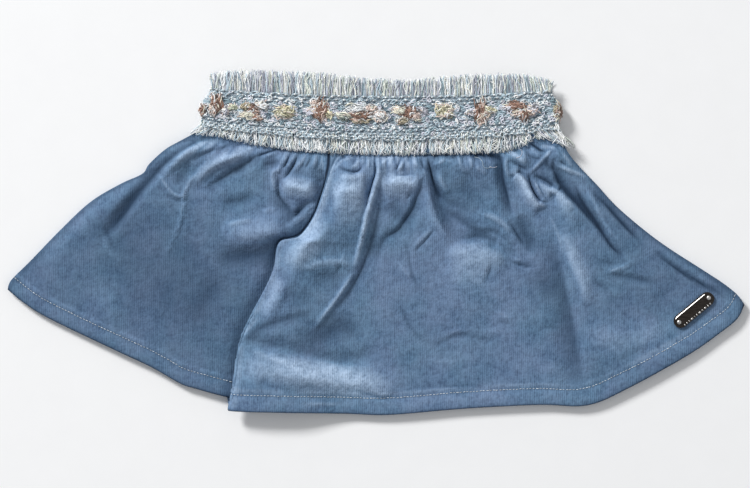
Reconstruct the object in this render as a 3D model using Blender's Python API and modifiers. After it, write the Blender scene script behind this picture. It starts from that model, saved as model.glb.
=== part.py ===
"""A small child's gathered needlecord skirt with a fringed braid round its waist.

Metres, +Z up. The skirt lies flat on z = 0 with its front upward and its waist toward +Y.
Panels are open sheets with Solidify; a loose fold of the front laps over itself to the left.
"""

import math
from collections import namedtuple

import bmesh
import bpy
import numpy as np

# Layers, counted up from the surface that the skirt lies on
CLOTH = 0.0015              # needlecord wall
HEM_CLOTH = 0.0021          # the turned hem, two thin layers pressed together
BRAID = 0.0022              # woven braid
GAP = 0.0003                # between pieces that lie on each other
BACK_LIFT = BRAID + GAP     # underside of the back panel where the braid is beneath it
FRONT_LIFT = CLOTH + GAP    # from the middle of one panel to the middle of the next
BRAID_SEAT = BACK_LIFT + 2 * CLOTH + 2 * GAP
STACK_TOP = BRAID_SEAT + BRAID

# Waist: the braid sags a little between the side edges
WAIST_MIDDLE_X = 0.010
WAIST_HALF = 0.105
WAIST_TOP_Y = 0.0882
WAIST_TOP_SAG = 0.0042
WAIST_LOW_Y = 0.0636
WAIST_LOW_SAG = 0.0070
PANEL_TOP_INSET = 0.0008    # the panels end just below the braid's upper edge
BRAID_LEFT = (-0.0998, -0.1050)
BRAID_RIGHT = (0.1056, 0.1102)

# Hem
HEM_DEPTH = 0.009
BACK_HEM_INSET = 0.0015

# Fringe
FRINGE_STRIP = 0.0016       # width of the backing strip
FRINGE_THICK = 0.0012
FRINGE_LENGTH = (0.0088, 0.0080)    # above and below the braid
FRINGE_INSET = 0.0020       # from the braid's side edges
FRINGE_TAPER = 0.72
LEAN = 0.0011
SPLAY = (0.0040, 0.0080)    # the end strands fan outward, above and below the braid
SPLAY_SHARE = 0.06
LENGTH_SPREAD = 0.11
LEFT_LONGER = 0.3           # the upper fringe is a little longer toward the left
CORNER_SHORTER = 2.5
CORNER_SHARE = 0.08
FRINGE_FRONT = 62           # strands along one edge of the front
FRINGE_BACK = 44

# Reach of the fringe below the braid, kept free of raised cloth
FRINGE_ZONE = 0.011
PUFF_ZONE = 0.024           # where the gathered cloth has reached its full height
LANDING = 0.034             # where the back panel has come down to the surface

# The lapped fold of the front
FOLD_RADIUS = 0.00105
FOLD_OVERLAP = 0.026        # hidden width at the hem
FLAT_TURN = 0.02            # the fold has hardly begun under the braid
TURN_LENGTH = 0.0022        # least length of cloth in each turn
TURN_STEPS = 4
RUN_STEPS = 2

# Gathers just below the braid
GATHER_PITCH = 0.0108
GATHER_HEIGHT = 0.0013
PUFF = 0.0022

# Grid sizes
LEFT_COLUMNS = 30
RIGHT_COLUMNS = 48
BACK_COLUMNS = 48
BODY_ROWS = (0.0, 0.03, 0.065, 0.10, 0.15, 0.21, 0.28, 0.36, 0.44, 0.52,
             0.60, 0.68, 0.76, 0.84, 0.925, 0.945, 1.0)
BACK_ROWS = (0.0, 0.05, 0.10, 0.16, 0.24, 0.40, 0.60, 0.80, 1.0)
BRAID_COLUMNS = 72
BRAID_ROWS = (0.0, 0.08, 0.22, 0.36, 0.46, 0.56, 0.66, 0.78, 0.92, 1.0)
CURL_STEPS = 3

# Metal plate near the right corner of the hem
PLATE_X = 0.1908
PLATE_Y = -0.0402
PLATE_ANGLE = math.radians(39.5)
PLATE_LENGTH = 0.029
PLATE_WIDTH = 0.0084
PLATE_THICK = 0.0014
PLATE_RIM = 0.0009
PLATE_RECESS = 0.0004
RIVET_RADIUS = 0.0009
RIVET_PLACE = 0.0115        # from the plate's middle

Point = namedtuple("Point", "x y")
Fold = namedtuple("Fold", "part x0 y0 x1 y1 x2 y2 height width")
Flower = namedtuple("Flower", "x y half_width half_height height")

# Plan outline, followed from the braid down to the hem
LEFT_EDGE = [Point(-0.1010, 0.0700), Point(-0.1176, 0.0612), Point(-0.1266, 0.0560),
             Point(-0.1362, 0.0474), Point(-0.1404, 0.0416), Point(-0.1536, 0.0354),
             Point(-0.1716, 0.0246), Point(-0.1896, 0.0078), Point(-0.2080, -0.0112),
             Point(-0.2190, -0.0222), Point(-0.2212, -0.0280)]
RIGHT_EDGE = [Point(0.1062, 0.0694), Point(0.1120, 0.0600), Point(0.1180, 0.0505),
              Point(0.1320, 0.0356), Point(0.1460, 0.0206), Point(0.1700, 0.0010),
              Point(0.1970, -0.0166), Point(0.2080, -0.0238), Point(0.2170, -0.0310),
              Point(0.2212, -0.0372)]
# The visible edge of the lapped fold, from the braid to the hem
FOLD_EDGE = [Point(-0.0270, 0.0650), Point(-0.0282, 0.0540), Point(-0.0290, 0.0430),
             Point(-0.0324, 0.0300), Point(-0.0378, 0.0156), Point(-0.0468, 0.0036),
             Point(-0.0584, 0.0000), Point(-0.0615, -0.0144), Point(-0.0666, -0.0270),
             Point(-0.0810, -0.0558), Point(-0.0846, -0.0804), Point(-0.0876, -0.0996)]
LEFT_HEM = [Point(-0.2212, -0.0280), Point(-0.2120, -0.0355), Point(-0.1970, -0.0450),
            Point(-0.1570, -0.0642), Point(-0.1356, -0.0742), Point(-0.1176, -0.0844),
            Point(-0.1086, -0.0874), Point(-0.0910, -0.0922)]
RIGHT_HEM = [Point(-0.0876, -0.0996), Point(-0.0820, -0.1010), Point(-0.0190, -0.1025),
             Point(0.0080, -0.1032), Point(0.0530, -0.0995), Point(0.0980, -0.0972),
             Point(0.1270, -0.0975), Point(0.1520, -0.0870), Point(0.1880, -0.0670),
             Point(0.2070, -0.0538), Point(0.2170, -0.0455), Point(0.2212, -0.0372)]

# Soft ridges (height above zero) and troughs (below zero), each from its first to its last
# place through the one between; half width is where the relief has faded to a third
FOLDS = [
    Fold("left", -0.106, 0.066, -0.136, 0.038, -0.163, 0.007, 0.0030, 0.0070),
    Fold("left", -0.100, 0.066, -0.135, 0.033, -0.168, 0.000, -0.0026, 0.0045),
    Fold("left", -0.082, 0.060, -0.120, 0.033, -0.156, -0.006, 0.0020, 0.0090),
    Fold("left", -0.066, 0.062, -0.097, 0.046, -0.120, 0.008, 0.0028, 0.0060),
    Fold("left", -0.068, 0.056, -0.083, 0.044, -0.094, 0.034, -0.0022, 0.0045),
    Fold("left", -0.046, 0.058, -0.047, 0.036, -0.047, 0.018, 0.0034, 0.0085),
    Fold("left", -0.054, 0.058, -0.060, 0.034, -0.049, 0.016, -0.0024, 0.0045),
    Fold("left", -0.150, -0.010, -0.165, -0.028, -0.175, -0.045, 0.0012, 0.0120),
    Fold("right", 0.005, 0.060, 0.003, 0.034, -0.007, 0.006, 0.0034, 0.0070),
    Fold("right", -0.005, 0.014, -0.016, -0.017, -0.040, -0.055, 0.0030, 0.0080),
    Fold("right", 0.008, 0.040, -0.004, -0.003, -0.022, -0.036, -0.0024, 0.0050),
    Fold("right", 0.017, 0.056, 0.016, 0.032, 0.009, 0.014, 0.0034, 0.0080),
    Fold("right", 0.030, 0.052, 0.026, 0.022, 0.003, 0.001, -0.0028, 0.0045),
    Fold("right", 0.032, 0.060, 0.035, 0.030, 0.062, -0.001, -0.0034, 0.0048),
    Fold("right", 0.051, 0.060, 0.047, 0.036, 0.056, 0.012, 0.0028, 0.0080),
    Fold("right", 0.030, -0.003, 0.052, -0.011, 0.078, -0.010, 0.0020, 0.0080),
    Fold("right", 0.077, 0.062, 0.083, 0.038, 0.100, 0.018, 0.0034, 0.0055),
    Fold("right", 0.074, 0.056, 0.076, 0.036, 0.085, 0.015, -0.0026, 0.0042),
    Fold("right", 0.098, 0.044, 0.110, 0.025, 0.125, -0.006, 0.0024, 0.0070),
    Fold("right", 0.106, 0.058, 0.110, 0.033, 0.144, -0.001, -0.0032, 0.0048),
    Fold("right", 0.113, 0.052, 0.130, 0.027, 0.152, 0.001, 0.0030, 0.0060),
    Fold("right", 0.156, 0.006, 0.180, -0.010, 0.200, -0.024, 0.0018, 0.0060),
    Fold("right", 0.108, 0.006, 0.118, -0.034, 0.126, -0.094, -0.0022, 0.0055),
    Fold("right", 0.113, 0.008, 0.126, -0.028, 0.136, -0.064, 0.0022, 0.0065),
    Fold("right", -0.082, -0.064, -0.045, -0.070, -0.002, -0.088, 0.0018, 0.0075),
    Fold("right", 0.015, -0.043, 0.033, -0.062, 0.064, -0.057, -0.0012, 0.0060),
]

# Tufted flowers of the braid
FLOWERS = [
    Flower(-0.0965, 0.0825, 0.0052, 0.0055, 0.0022),
    Flower(-0.0747, 0.0789, 0.0068, 0.0050, 0.0024),
    Flower(-0.0545, 0.0785, 0.0064, 0.0048, 0.0022),
    Flower(-0.0325, 0.0790, 0.0066, 0.0076, 0.0026),
    Flower(-0.0060, 0.0770, 0.0104, 0.0050, 0.0024),
    Flower(0.0192, 0.0762, 0.0080, 0.0058, 0.0024),
    Flower(0.0412, 0.0792, 0.0060, 0.0048, 0.0022),
    Flower(0.0642, 0.0780, 0.0068, 0.0074, 0.0026),
    Flower(0.0868, 0.0796, 0.0062, 0.0056, 0.0024),
]

COLOURS = {
    "cord": (0.095, 0.165, 0.290),
    "braid": (0.330, 0.430, 0.500),
    "fringe": (0.480, 0.560, 0.580),
    "metal": (0.160, 0.150, 0.150),
}


def clear_scene():
    """Remove every object that a new file brings."""
    for thing in list(bpy.data.objects):
        bpy.data.objects.remove(thing)


def material(name, colour, roughness, metallic=0.0):
    """Make a Principled material."""
    made = bpy.data.materials.new(name)
    made.use_nodes = True
    shader = made.node_tree.nodes["Principled BSDF"]
    shader.inputs["Base Color"].default_value = (*colour, 1.0)
    shader.inputs["Roughness"].default_value = roughness
    shader.inputs["Metallic"].default_value = metallic
    made.diffuse_color = (*colour, 1.0)
    return made


def smooth_step(low, high, value):
    """Ease from 0 at low to 1 at high."""
    part = np.clip((value - low) / (high - low), 0.0, 1.0)
    return part * part * (3.0 - 2.0 * part)


class Route:
    """A smooth plan curve through points, read by the fraction of its length."""

    def __init__(self, points, steps=8):
        ends = [points[0]] + list(points) + [points[-1]]
        curve = []
        for before, here, after, later in zip(ends, ends[1:], ends[2:], ends[3:]):
            for step in range(steps):
                part = step / steps
                curve.append(spline_point(before, here, after, later, part))
        curve.append(points[-1])
        self.points = np.array(curve)
        lengths = np.hypot(*np.diff(self.points, axis=0).T)
        self.travelled = np.concatenate(([0.0], np.cumsum(lengths)))

    def at(self, fraction):
        """Return the x and y arrays at each fraction of the length."""
        distance = np.asarray(fraction) * self.travelled[-1]
        x = np.interp(distance, self.travelled, self.points[:, 0])
        y = np.interp(distance, self.travelled, self.points[:, 1])
        return x, y


def spline_point(before, here, after, later, part):
    """Return one point of the Catmull-Rom curve between here and after."""
    place = []
    for a, b, c, d in zip(before, here, after, later):
        curve = 2 * a - 5 * b + 4 * c - d
        bend = 3 * b - a - 3 * c + d
        place.append(0.5 * (2 * b + (c - a) * part + curve * part ** 2 + bend * part ** 3))
    return place


def sag(x):
    """Return how far up the waist's hanging curve x lies, 0 in the middle, 1 at a side."""
    return np.minimum(((x - WAIST_MIDDLE_X) / WAIST_HALF) ** 2, 1.15)


def waist_top(x):
    """Height of the braid's upper edge in plan."""
    return WAIST_TOP_Y + WAIST_TOP_SAG * sag(x)


def waist_low(x):
    """Height of the braid's lower edge in plan."""
    return WAIST_LOW_Y + WAIST_LOW_SAG * sag(x)


def below_waist(x, y):
    """Distance of a place below the braid's lower edge."""
    return waist_low(x) - y


def back_level(x, y, delay=0.0):
    """Height of the back panel's underside: over the braid, then down to the surface."""
    return BACK_LIFT * (1.0 - smooth_step(FRINGE_ZONE, LANDING, below_waist(x, y) - delay))


def fold_relief(part, x, y):
    """Add up the ridges and troughs of one part of the front."""
    relief = np.zeros_like(x)
    for fold in FOLDS:
        if fold.part != part:
            continue
        route = Route([(fold.x0, fold.y0), (fold.x1, fold.y1), (fold.x2, fold.y2)])
        fractions = np.linspace(0.0, 1.0, 25)
        route_x, route_y = route.at(fractions)
        away = np.hypot(x[..., None] - route_x, y[..., None] - route_y)
        nearest = fractions[np.argmin(away, axis=-1)]
        fade = 1.0 - (2.0 * nearest - 1.0) ** 4
        relief += fold.height * fade * np.exp(-(away.min(axis=-1) / fold.width) ** 2)
    return relief


def gather_waves(top_x, x, y):
    """Small uneven gathers that fade a few centimetres below the braid."""
    phase = top_x / GATHER_PITCH + 0.22 * np.sin(top_x / 0.017) + 0.15 * np.sin(top_x / 0.0063)
    fade = np.exp(-(np.maximum(below_waist(x, y), 0.0) / 0.030) ** 2)
    return GATHER_HEIGHT * np.sin(2.0 * math.pi * phase) * fade


def soft_floor(height, softness=0.0006):
    """Keep a height above zero, easing into it."""
    return 0.5 * (height + np.sqrt(height ** 2 + softness ** 2)) - 0.25 * softness


def loft(part, x, y, top_x, down):
    """Height of the front above its lowest level, before the edges are brought down."""
    puff = PUFF * (1.0 - 0.75 * smooth_step(0.35, 0.95, down))
    raised = puff + fold_relief(part, x, y) + gather_waves(top_x, x, y)
    open_air = smooth_step(FRINGE_ZONE - 0.001, PUFF_ZONE, below_waist(x, y))
    hem_calm = 1.0 - 0.6 * smooth_step(0.80, 1.0, down)
    return np.maximum(soft_floor(raised), 0.0) * open_air * hem_calm


def front_level(x, y):
    """Middle of the front wall where it lies on the back panel."""
    return back_level(x, y, delay=0.003) + CLOTH + GAP + CLOTH / 2


def blend_edges(top, hem, start, end, across, down):
    """Coons patch: the plan place at each fraction across and down between four edges."""
    corners = {"top_start": (start[0][0], start[1][0]), "top_end": (end[0][0], end[1][0]),
               "hem_start": (start[0][-1], start[1][-1]), "hem_end": (end[0][-1], end[1][-1])}
    a = across[None, :]
    d = down[:, None]
    made = []
    for axis in range(2):
        ruled_down = (1 - d) * top[axis][None, :] + d * hem[axis][None, :]
        ruled_across = (1 - a) * start[axis][:, None] + a * end[axis][:, None]
        upper = (1 - a) * corners["top_start"][axis] + a * corners["top_end"][axis]
        lower = (1 - a) * corners["hem_start"][axis] + a * corners["hem_end"][axis]
        made.append(ruled_down + ruled_across - (1 - d) * upper - d * lower)
    return made


def turn_of(down):
    """Angle through which the lapped fold has turned over at a fraction down."""
    return np.maximum(math.pi * smooth_step(0.065, 0.22, down), FLAT_TURN)


def run_of(down):
    """Width of the hidden layer between the fold's two turns."""
    return np.interp(down, (0.0, 0.13, 0.23, 0.50, 1.0),
                     (0.0040, 0.0020, 0.0030, 0.0110, FOLD_OVERLAP))


def lap_section(turn, run, extra):
    """Offsets along x and z through the lapped fold: a turn, a straight run, a turn back."""
    steps = [k / TURN_STEPS for k in range(1, TURN_STEPS + 1)]
    radius = max(FOLD_RADIUS, TURN_LENGTH / turn) + extra
    offsets = [(radius * math.sin(turn * k), radius * (1 - math.cos(turn * k))) for k in steps]
    x, z = offsets[-1]
    for k in range(1, RUN_STEPS + 1):
        share = run * k / RUN_STEPS
        offsets.append((x + share * math.cos(turn), z + share * math.sin(turn)))
    x, z = offsets[-1]
    for k in steps:
        left = turn * (1 - k)
        offsets.append((x + radius * (math.sin(turn) - math.sin(left)),
                        z + radius * (math.cos(left) - math.cos(turn))))
    return offsets


def hem_extra(down):
    """Half of what the turned hem adds to the wall, reached just above it."""
    return (HEM_CLOTH - CLOTH) / 2 * smooth_step(0.84, 0.925, down)


def top_edge(first_x, last_x, across):
    """The line where a panel passes under the braid's lower edge."""
    x = first_x + (last_x - first_x) * across
    return x, waist_low(x)


def front_points():
    """Rows of points on the middle of the front wall, from the waist to the hem."""
    down = np.array(BODY_ROWS)
    fold_x, fold_y = Route(FOLD_EDGE).at(down)
    fold_x += FOLD_RADIUS + CLOTH / 2
    thicker = hem_extra(down)
    sections = [lap_section(*sizes) for sizes in zip(turn_of(down), run_of(down), thicker)]
    advance = np.array([section[-1][0] for section in sections])
    rise = np.array([section[-1][1] for section in sections])

    # The left part, down to where the fold turns under
    across = np.linspace(0.0, 1.0, LEFT_COLUMNS + 1)
    start = Route(LEFT_EDGE).at(down)
    end = (fold_x - advance, fold_y)
    hidden_end = Point(end[0][-1], end[1][-1])
    hem = Route(LEFT_HEM + [hidden_end]).at(across)
    top = top_edge(start[0][0], end[0][0], across)
    start[1][0] = top[1][0]
    end[1][0] = top[1][-1]
    left_x, left_y = blend_edges(top, hem, start, end, across, down)
    height = loft("left", left_x, left_y, np.broadcast_to(top[0], left_x.shape), down[:, None])
    beside_fold = smooth_step(0.0, 0.011, fold_x[:, None] - left_x)
    beside_seam = smooth_step(0.0, 0.10, across)[None, :]
    left_z = front_level(left_x, left_y) + thicker[:, None] + height * beside_fold * beside_seam

    # The right part, on top of the fold
    across = np.linspace(0.0, 1.0, RIGHT_COLUMNS + 1)
    start = (fold_x.copy(), fold_y.copy())
    end = Route(RIGHT_EDGE).at(down)
    hem = Route(RIGHT_HEM).at(across)
    top = top_edge(start[0][0], end[0][0], across)
    start[1][0] = top[1][0]
    end[1][0] = top[1][-1]
    right_x, right_y = blend_edges(top, hem, start, end, across, down)
    height = loft("right", right_x, right_y, np.broadcast_to(top[0], right_x.shape), down[:, None])
    inside = right_x - fold_x[:, None]
    hidden = np.maximum(-advance, 0.0)[:, None]
    carried = rise[:, None] * (1.0 - smooth_step(hidden + 0.001, hidden + 0.014, inside))
    beside_fold = smooth_step(0.0, 0.012, inside)
    beside_seam = smooth_step(0.0, 0.06, 1.0 - across)[None, :]
    beside_plate = smooth_step(0.016, 0.028, np.hypot(right_x - PLATE_X, right_y - PLATE_Y))
    height = height * beside_fold * beside_seam * beside_plate
    right_z = front_level(right_x, right_y) + thicker[:, None] + carried + height

    rows = []
    for row in range(len(down)):
        points = list(zip(left_x[row], left_y[row], left_z[row]))
        x0, y0, z0 = points[-1]
        z1 = right_z[row][0] - rise[row]
        section = sections[row][:-1]
        for number, (dx, dz) in enumerate(section):
            share = (number + 1) / (len(section) + 1)
            points.append((x0 + dx, y0, z0 + (z1 - z0) * share + dz))
        points += list(zip(right_x[row], right_y[row], right_z[row]))
        rows.append(points)
    return [waist_row(rows[0], FRONT_LIFT)] + rows


def waist_row(first_row, above_back):
    """The panel's upper end, under the braid's upper edge."""
    low_left = first_row[0][0]
    low_right = first_row[-1][0]
    left = BRAID_LEFT[0] + STACK_TOP / 2
    right = BRAID_RIGHT[0] - STACK_TOP / 2
    row = []
    for x, _, _ in first_row:
        share = (x - low_left) / (low_right - low_left)
        top_x = left + (right - left) * share
        row.append((top_x, waist_top(top_x) - PANEL_TOP_INSET,
                    BACK_LIFT + CLOTH / 2 + above_back))
    return row


def back_points():
    """Rows of points on the middle of the back wall, from the waist to the hem."""
    down = np.array(BACK_ROWS)
    across = np.linspace(0.0, 1.0, BACK_COLUMNS + 1)
    start = Route(LEFT_EDGE).at(down)
    end = Route(RIGHT_EDGE).at(down)
    hem = Route(LEFT_HEM + RIGHT_HEM[1:]).at(across)
    top = top_edge(start[0][0], end[0][0], across)
    start[1][0] = top[1][0]
    end[1][0] = top[1][-1]
    x, y = blend_edges(top, hem, start, end, across, down)
    y[-1, 1:-1] += BACK_HEM_INSET
    z = back_level(x, y) + CLOTH / 2
    rows = [list(zip(x[row], y[row], z[row])) for row in range(len(down))]
    return [waist_row(rows[0], 0.0)] + rows


def object_from(bm, name, finish, collection):
    """Turn a bmesh into a named object with one material."""
    mesh = bpy.data.meshes.new(name)
    bm.to_mesh(mesh)
    bm.free()
    mesh.materials.append(finish)
    made = bpy.data.objects.new(name, mesh)
    collection.objects.link(made)
    return made


def panel(name, rows, hem_rows, finish, collection):
    """An open sheet through rows of points, given its wall by Solidify, thicker at the hem."""
    row_count = len(rows) - 1
    column_count = len(rows[0]) - 1
    bm = bmesh.new()
    bmesh.ops.create_grid(bm, x_segments=column_count, y_segments=row_count, size=0.5)
    hem = []
    for vert in bm.verts:
        column = round((vert.co.x + 0.5) * column_count)
        row = round((0.5 - vert.co.y) * row_count)
        vert.co = rows[row][column]
        if row > row_count - hem_rows:
            hem.append(vert.index)
    made = object_from(bm, name, finish, collection)
    thin = made.vertex_groups.new(name="wall")
    thin.add(range(len(made.data.vertices)), CLOTH / HEM_CLOTH, "REPLACE")
    if hem:
        thin.add(hem, 1.0, "REPLACE")
    wall = made.modifiers.new("wall", "SOLIDIFY")
    wall.thickness = HEM_CLOTH
    wall.offset = 0.0
    wall.use_even_offset = True
    wall.vertex_group = "wall"
    return made


def slab(name, columns, rows, place, finish, collection):
    """A closed sheet: a unit slab whose corners are moved by place(across, down, layer)."""
    bm = bmesh.new()
    bmesh.ops.create_grid(bm, x_segments=columns, y_segments=rows, size=0.5)
    upper = bmesh.ops.extrude_face_region(bm, geom=bm.faces[:], use_keep_orig=True)["geom"]
    raised = {item for item in upper if isinstance(item, bmesh.types.BMVert)}
    for vert in bm.verts:
        column = round((vert.co.x + 0.5) * columns)
        row = round((0.5 - vert.co.y) * rows)
        vert.co = place(column, row, 1 if vert in raised else 0)
    bmesh.ops.recalc_face_normals(bm, faces=bm.faces[:])
    return object_from(bm, name, finish, collection)


def braid_relief(x, y):
    """Raised chain rows and tufted flowers on the braid's outer face."""
    height = 0.0
    share = (waist_top(x) - y) / (waist_top(x) - waist_low(x))
    for middle in (0.20, 0.80):
        row = math.exp(-((share - middle) / 0.10) ** 2)
        height += row * (0.0006 + 0.0003 * math.cos(2.0 * math.pi * x / 0.0058))
    for flower in FLOWERS:
        across = (x - flower.x) / flower.half_width
        along = (y - flower.y) / flower.half_height
        height += flower.height * math.exp(-(across ** 2 + along ** 2) ** 2)
    return height


def braid(name, side, columns, down_rows, finish, collection):
    """Half of the braid: flat over the panels, curled round both side edges."""
    total = columns + 2 * CURL_STEPS
    middle_z = STACK_TOP / 2
    inner = BRAID_SEAT - middle_z

    def place(column, row, layer):
        down = down_rows[row]
        bulge = smooth_step(0.0, 0.5, down)
        left = BRAID_LEFT[0] + (BRAID_LEFT[1] - BRAID_LEFT[0]) * bulge
        right = BRAID_RIGHT[0] + (BRAID_RIGHT[1] - BRAID_RIGHT[0]) * bulge
        radius = inner + BRAID * layer
        first = left + middle_z
        last = right - middle_z
        if column < CURL_STEPS:
            angle = math.pi / 2 * column / CURL_STEPS
            base, reach = first, -radius * math.cos(angle)
        elif column > CURL_STEPS + columns:
            angle = math.pi / 2 * (total - column) / CURL_STEPS
            base, reach = last, radius * math.cos(angle)
        else:
            angle = math.pi / 2
            base, reach = first + (last - first) * (column - CURL_STEPS) / columns, 0.0
        x = base + reach
        y = waist_top(base) + (waist_low(base) - waist_top(base)) * down
        relief = braid_relief(x, y) * layer if side > 0 and angle == math.pi / 2 else 0.0
        z = middle_z + side * (GAP / 2 + (radius - GAP / 2) * math.sin(angle) + relief)
        return x, y, z

    return slab(name, total, len(down_rows) - 1, place, finish, collection)


def fringe(name, edge, outward, strands, low_z, finish, collection):
    """A narrow backing strip along one braid edge with tapering strands standing apart."""
    columns = 2 * strands + 1
    corner = 0 if outward > 0 else 1
    first = BRAID_LEFT[corner] + FRINGE_INSET
    last = BRAID_RIGHT[corner] - FRINGE_INSET

    def place(column, row, layer):
        x = first + (last - first) * column / columns
        y = edge(x) + outward * (GAP + FRINGE_STRIP * row)
        return x, y, low_z + FRINGE_THICK * layer

    made = slab(name, columns, 1, place, finish, collection)
    bm = bmesh.new()
    bm.from_mesh(made.data)
    roots = []
    for face in bm.faces:
        middle = face.calc_center_median()
        column = (middle.x - first) / (last - first) * columns - 0.5
        beyond = outward * (middle.y - edge(middle.x)) > GAP + 0.98 * FRINGE_STRIP
        if beyond and round(column) % 2 == 1 and face.normal.y * outward > 0.8:
            roots.append(face)
    roots.sort(key=lambda face: face.calc_center_median().x)
    for number, face in enumerate(roots):
        tip = bmesh.ops.extrude_discrete_faces(bm, faces=[face])["faces"][0]
        root = tip.calc_center_median()
        share = number / (strands - 1)
        splay = max(share - 1 + SPLAY_SHARE, 0.0) - max(SPLAY_SHARE - share, 0.0)
        lean = LEAN * math.sin(number * 2.4) + SPLAY[corner] * splay / SPLAY_SHARE
        uneven = 1.0 + LENGTH_SPREAD * math.sin(number * 1.7)
        if outward > 0:
            uneven += LEFT_LONGER * max(0.5 - share, 0.0)
            uneven -= CORNER_SHORTER * max(CORNER_SHARE - min(share, 1 - share), 0.0)
        reach = FRINGE_LENGTH[corner] * uneven
        for vert in tip.verts:
            vert.co = root + (vert.co - root) * FRINGE_TAPER
            vert.co.x += lean
            vert.co.y += outward * reach
    bmesh.ops.recalc_face_normals(bm, faces=bm.faces[:])
    bm.to_mesh(made.data)
    bm.free()
    return made


def plate_outline(grow=0.0, steps=6):
    """A long rounded bar: two straight sides and two half-round ends."""
    radius = PLATE_WIDTH / 2 + grow
    straight = PLATE_LENGTH / 2 - PLATE_WIDTH / 2
    outline = []
    for end in (1, -1):
        for step in range(steps + 1):
            angle = math.pi * (step / steps - 0.5) + (0.0 if end > 0 else math.pi)
            outline.append((end * straight + radius * math.cos(angle), radius * math.sin(angle)))
    return outline


def metal_plate(finish, collection):
    """The bare metal plate with a raised rim, lying on the cloth, and its two rivet heads."""
    seat = 2 * CLOTH + 2 * GAP + 0.0001
    bm = bmesh.new()
    outline = [bm.verts.new((x, y, 0.0)) for x, y in plate_outline()]
    base = bm.faces.new(outline)
    upper = bmesh.ops.extrude_face_region(bm, geom=[base], use_keep_orig=True)["geom"]
    bmesh.ops.translate(bm, vec=(0.0, 0.0, PLATE_THICK),
                        verts=[item for item in upper if isinstance(item, bmesh.types.BMVert)])
    face = [item for item in upper if isinstance(item, bmesh.types.BMFace)]
    bmesh.ops.inset_region(bm, faces=face, thickness=PLATE_RIM)
    bmesh.ops.inset_region(bm, faces=face, thickness=0.0002, depth=-PLATE_RECESS)
    bmesh.ops.recalc_face_normals(bm, faces=bm.faces[:])
    plate = object_from(bm, "metal_plate", finish, collection)
    plate.location = (PLATE_X, PLATE_Y, seat)
    plate.rotation_euler = (0.0, 0.0, PLATE_ANGLE)
    for side, label in ((-1, "left"), (1, "right")):
        bm = bmesh.new()
        bmesh.ops.create_uvsphere(bm, u_segments=10, v_segments=6, radius=RIVET_RADIUS)
        everything = bm.verts[:] + bm.edges[:] + bm.faces[:]
        bmesh.ops.bisect_plane(bm, geom=everything, plane_co=(0.0, 0.0, 0.0),
                               plane_no=(0.0, 0.0, 1.0), clear_inner=True)
        bmesh.ops.holes_fill(bm, edges=bm.edges[:])
        bmesh.ops.scale(bm, vec=(1.0, 1.0, 0.6), verts=bm.verts[:])
        bmesh.ops.recalc_face_normals(bm, faces=bm.faces[:])
        head = object_from(bm, "plate_rivet_" + label, finish, collection)
        head.location = (PLATE_X + side * RIVET_PLACE * math.cos(PLATE_ANGLE),
                         PLATE_Y + side * RIVET_PLACE * math.sin(PLATE_ANGLE),
                         seat + PLATE_THICK - PLATE_RECESS + GAP)


def main():
    """Build the skirt."""
    clear_scene()
    collection = bpy.data.collections.new("gathered_cord_skirt")
    bpy.context.scene.collection.children.link(collection)
    cord = material("needlecord", COLOURS["cord"], 0.85)
    woven = material("braid_weave", COLOURS["braid"], 0.9)
    threads = material("fringe_threads", COLOURS["fringe"], 0.9)
    metal = material("dark_metal", COLOURS["metal"], 0.22, 1.0)

    panel("skirt_front", front_points(), 2, cord, collection)
    panel("skirt_back", back_points(), 0, cord, collection)
    braid("braid_front", 1, BRAID_COLUMNS, BRAID_ROWS, woven, collection)
    braid("braid_back", -1, 40, (0.0, 0.33, 0.67, 1.0), woven, collection)
    over = BRAID_SEAT + 0.0002
    under = 0.0004
    fringe("fringe_upper_front", waist_top, 1, FRINGE_FRONT, over, threads, collection)
    fringe("fringe_lower_front", waist_low, -1, FRINGE_FRONT, over, threads, collection)
    fringe("fringe_upper_back", waist_top, 1, FRINGE_BACK, under, threads, collection)
    fringe("fringe_lower_back", waist_low, -1, FRINGE_BACK, under, threads, collection)
    metal_plate(metal, collection)


main()
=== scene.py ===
"""Looks of a small child's gathered needlecord skirt with a fringed braid waist, laid flat.

Metres, +Z up. The skirt lies on z = 0 with its front upward and its waist toward +Y.
"""

import math
from collections import namedtuple

import bmesh
import bpy
import numpy as np
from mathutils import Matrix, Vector


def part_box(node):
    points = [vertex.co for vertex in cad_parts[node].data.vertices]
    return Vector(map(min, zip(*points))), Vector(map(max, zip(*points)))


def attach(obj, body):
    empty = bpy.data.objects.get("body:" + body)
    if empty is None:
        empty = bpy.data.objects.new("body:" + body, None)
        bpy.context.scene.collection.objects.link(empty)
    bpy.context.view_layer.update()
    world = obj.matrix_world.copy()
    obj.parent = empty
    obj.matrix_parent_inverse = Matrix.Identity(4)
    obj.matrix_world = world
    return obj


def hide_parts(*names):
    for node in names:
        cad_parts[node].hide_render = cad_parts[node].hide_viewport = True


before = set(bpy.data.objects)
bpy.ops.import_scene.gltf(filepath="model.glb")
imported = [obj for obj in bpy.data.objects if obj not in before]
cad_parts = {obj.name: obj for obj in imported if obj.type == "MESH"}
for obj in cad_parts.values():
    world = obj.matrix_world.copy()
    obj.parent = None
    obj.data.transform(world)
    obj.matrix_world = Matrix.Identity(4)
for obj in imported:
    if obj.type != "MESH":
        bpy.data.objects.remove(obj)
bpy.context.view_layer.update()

bl_info = {
    "name": "Gathered cord skirt",
    "version": (1, 0, 0),
    "blender": (4, 5, 0),
    "location": "3D View > Sidebar > Skirt",
    "description": "Builds the cloth, braid, fringe and plate of a child's skirt laid flat",
    "category": "Object",
}

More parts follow.
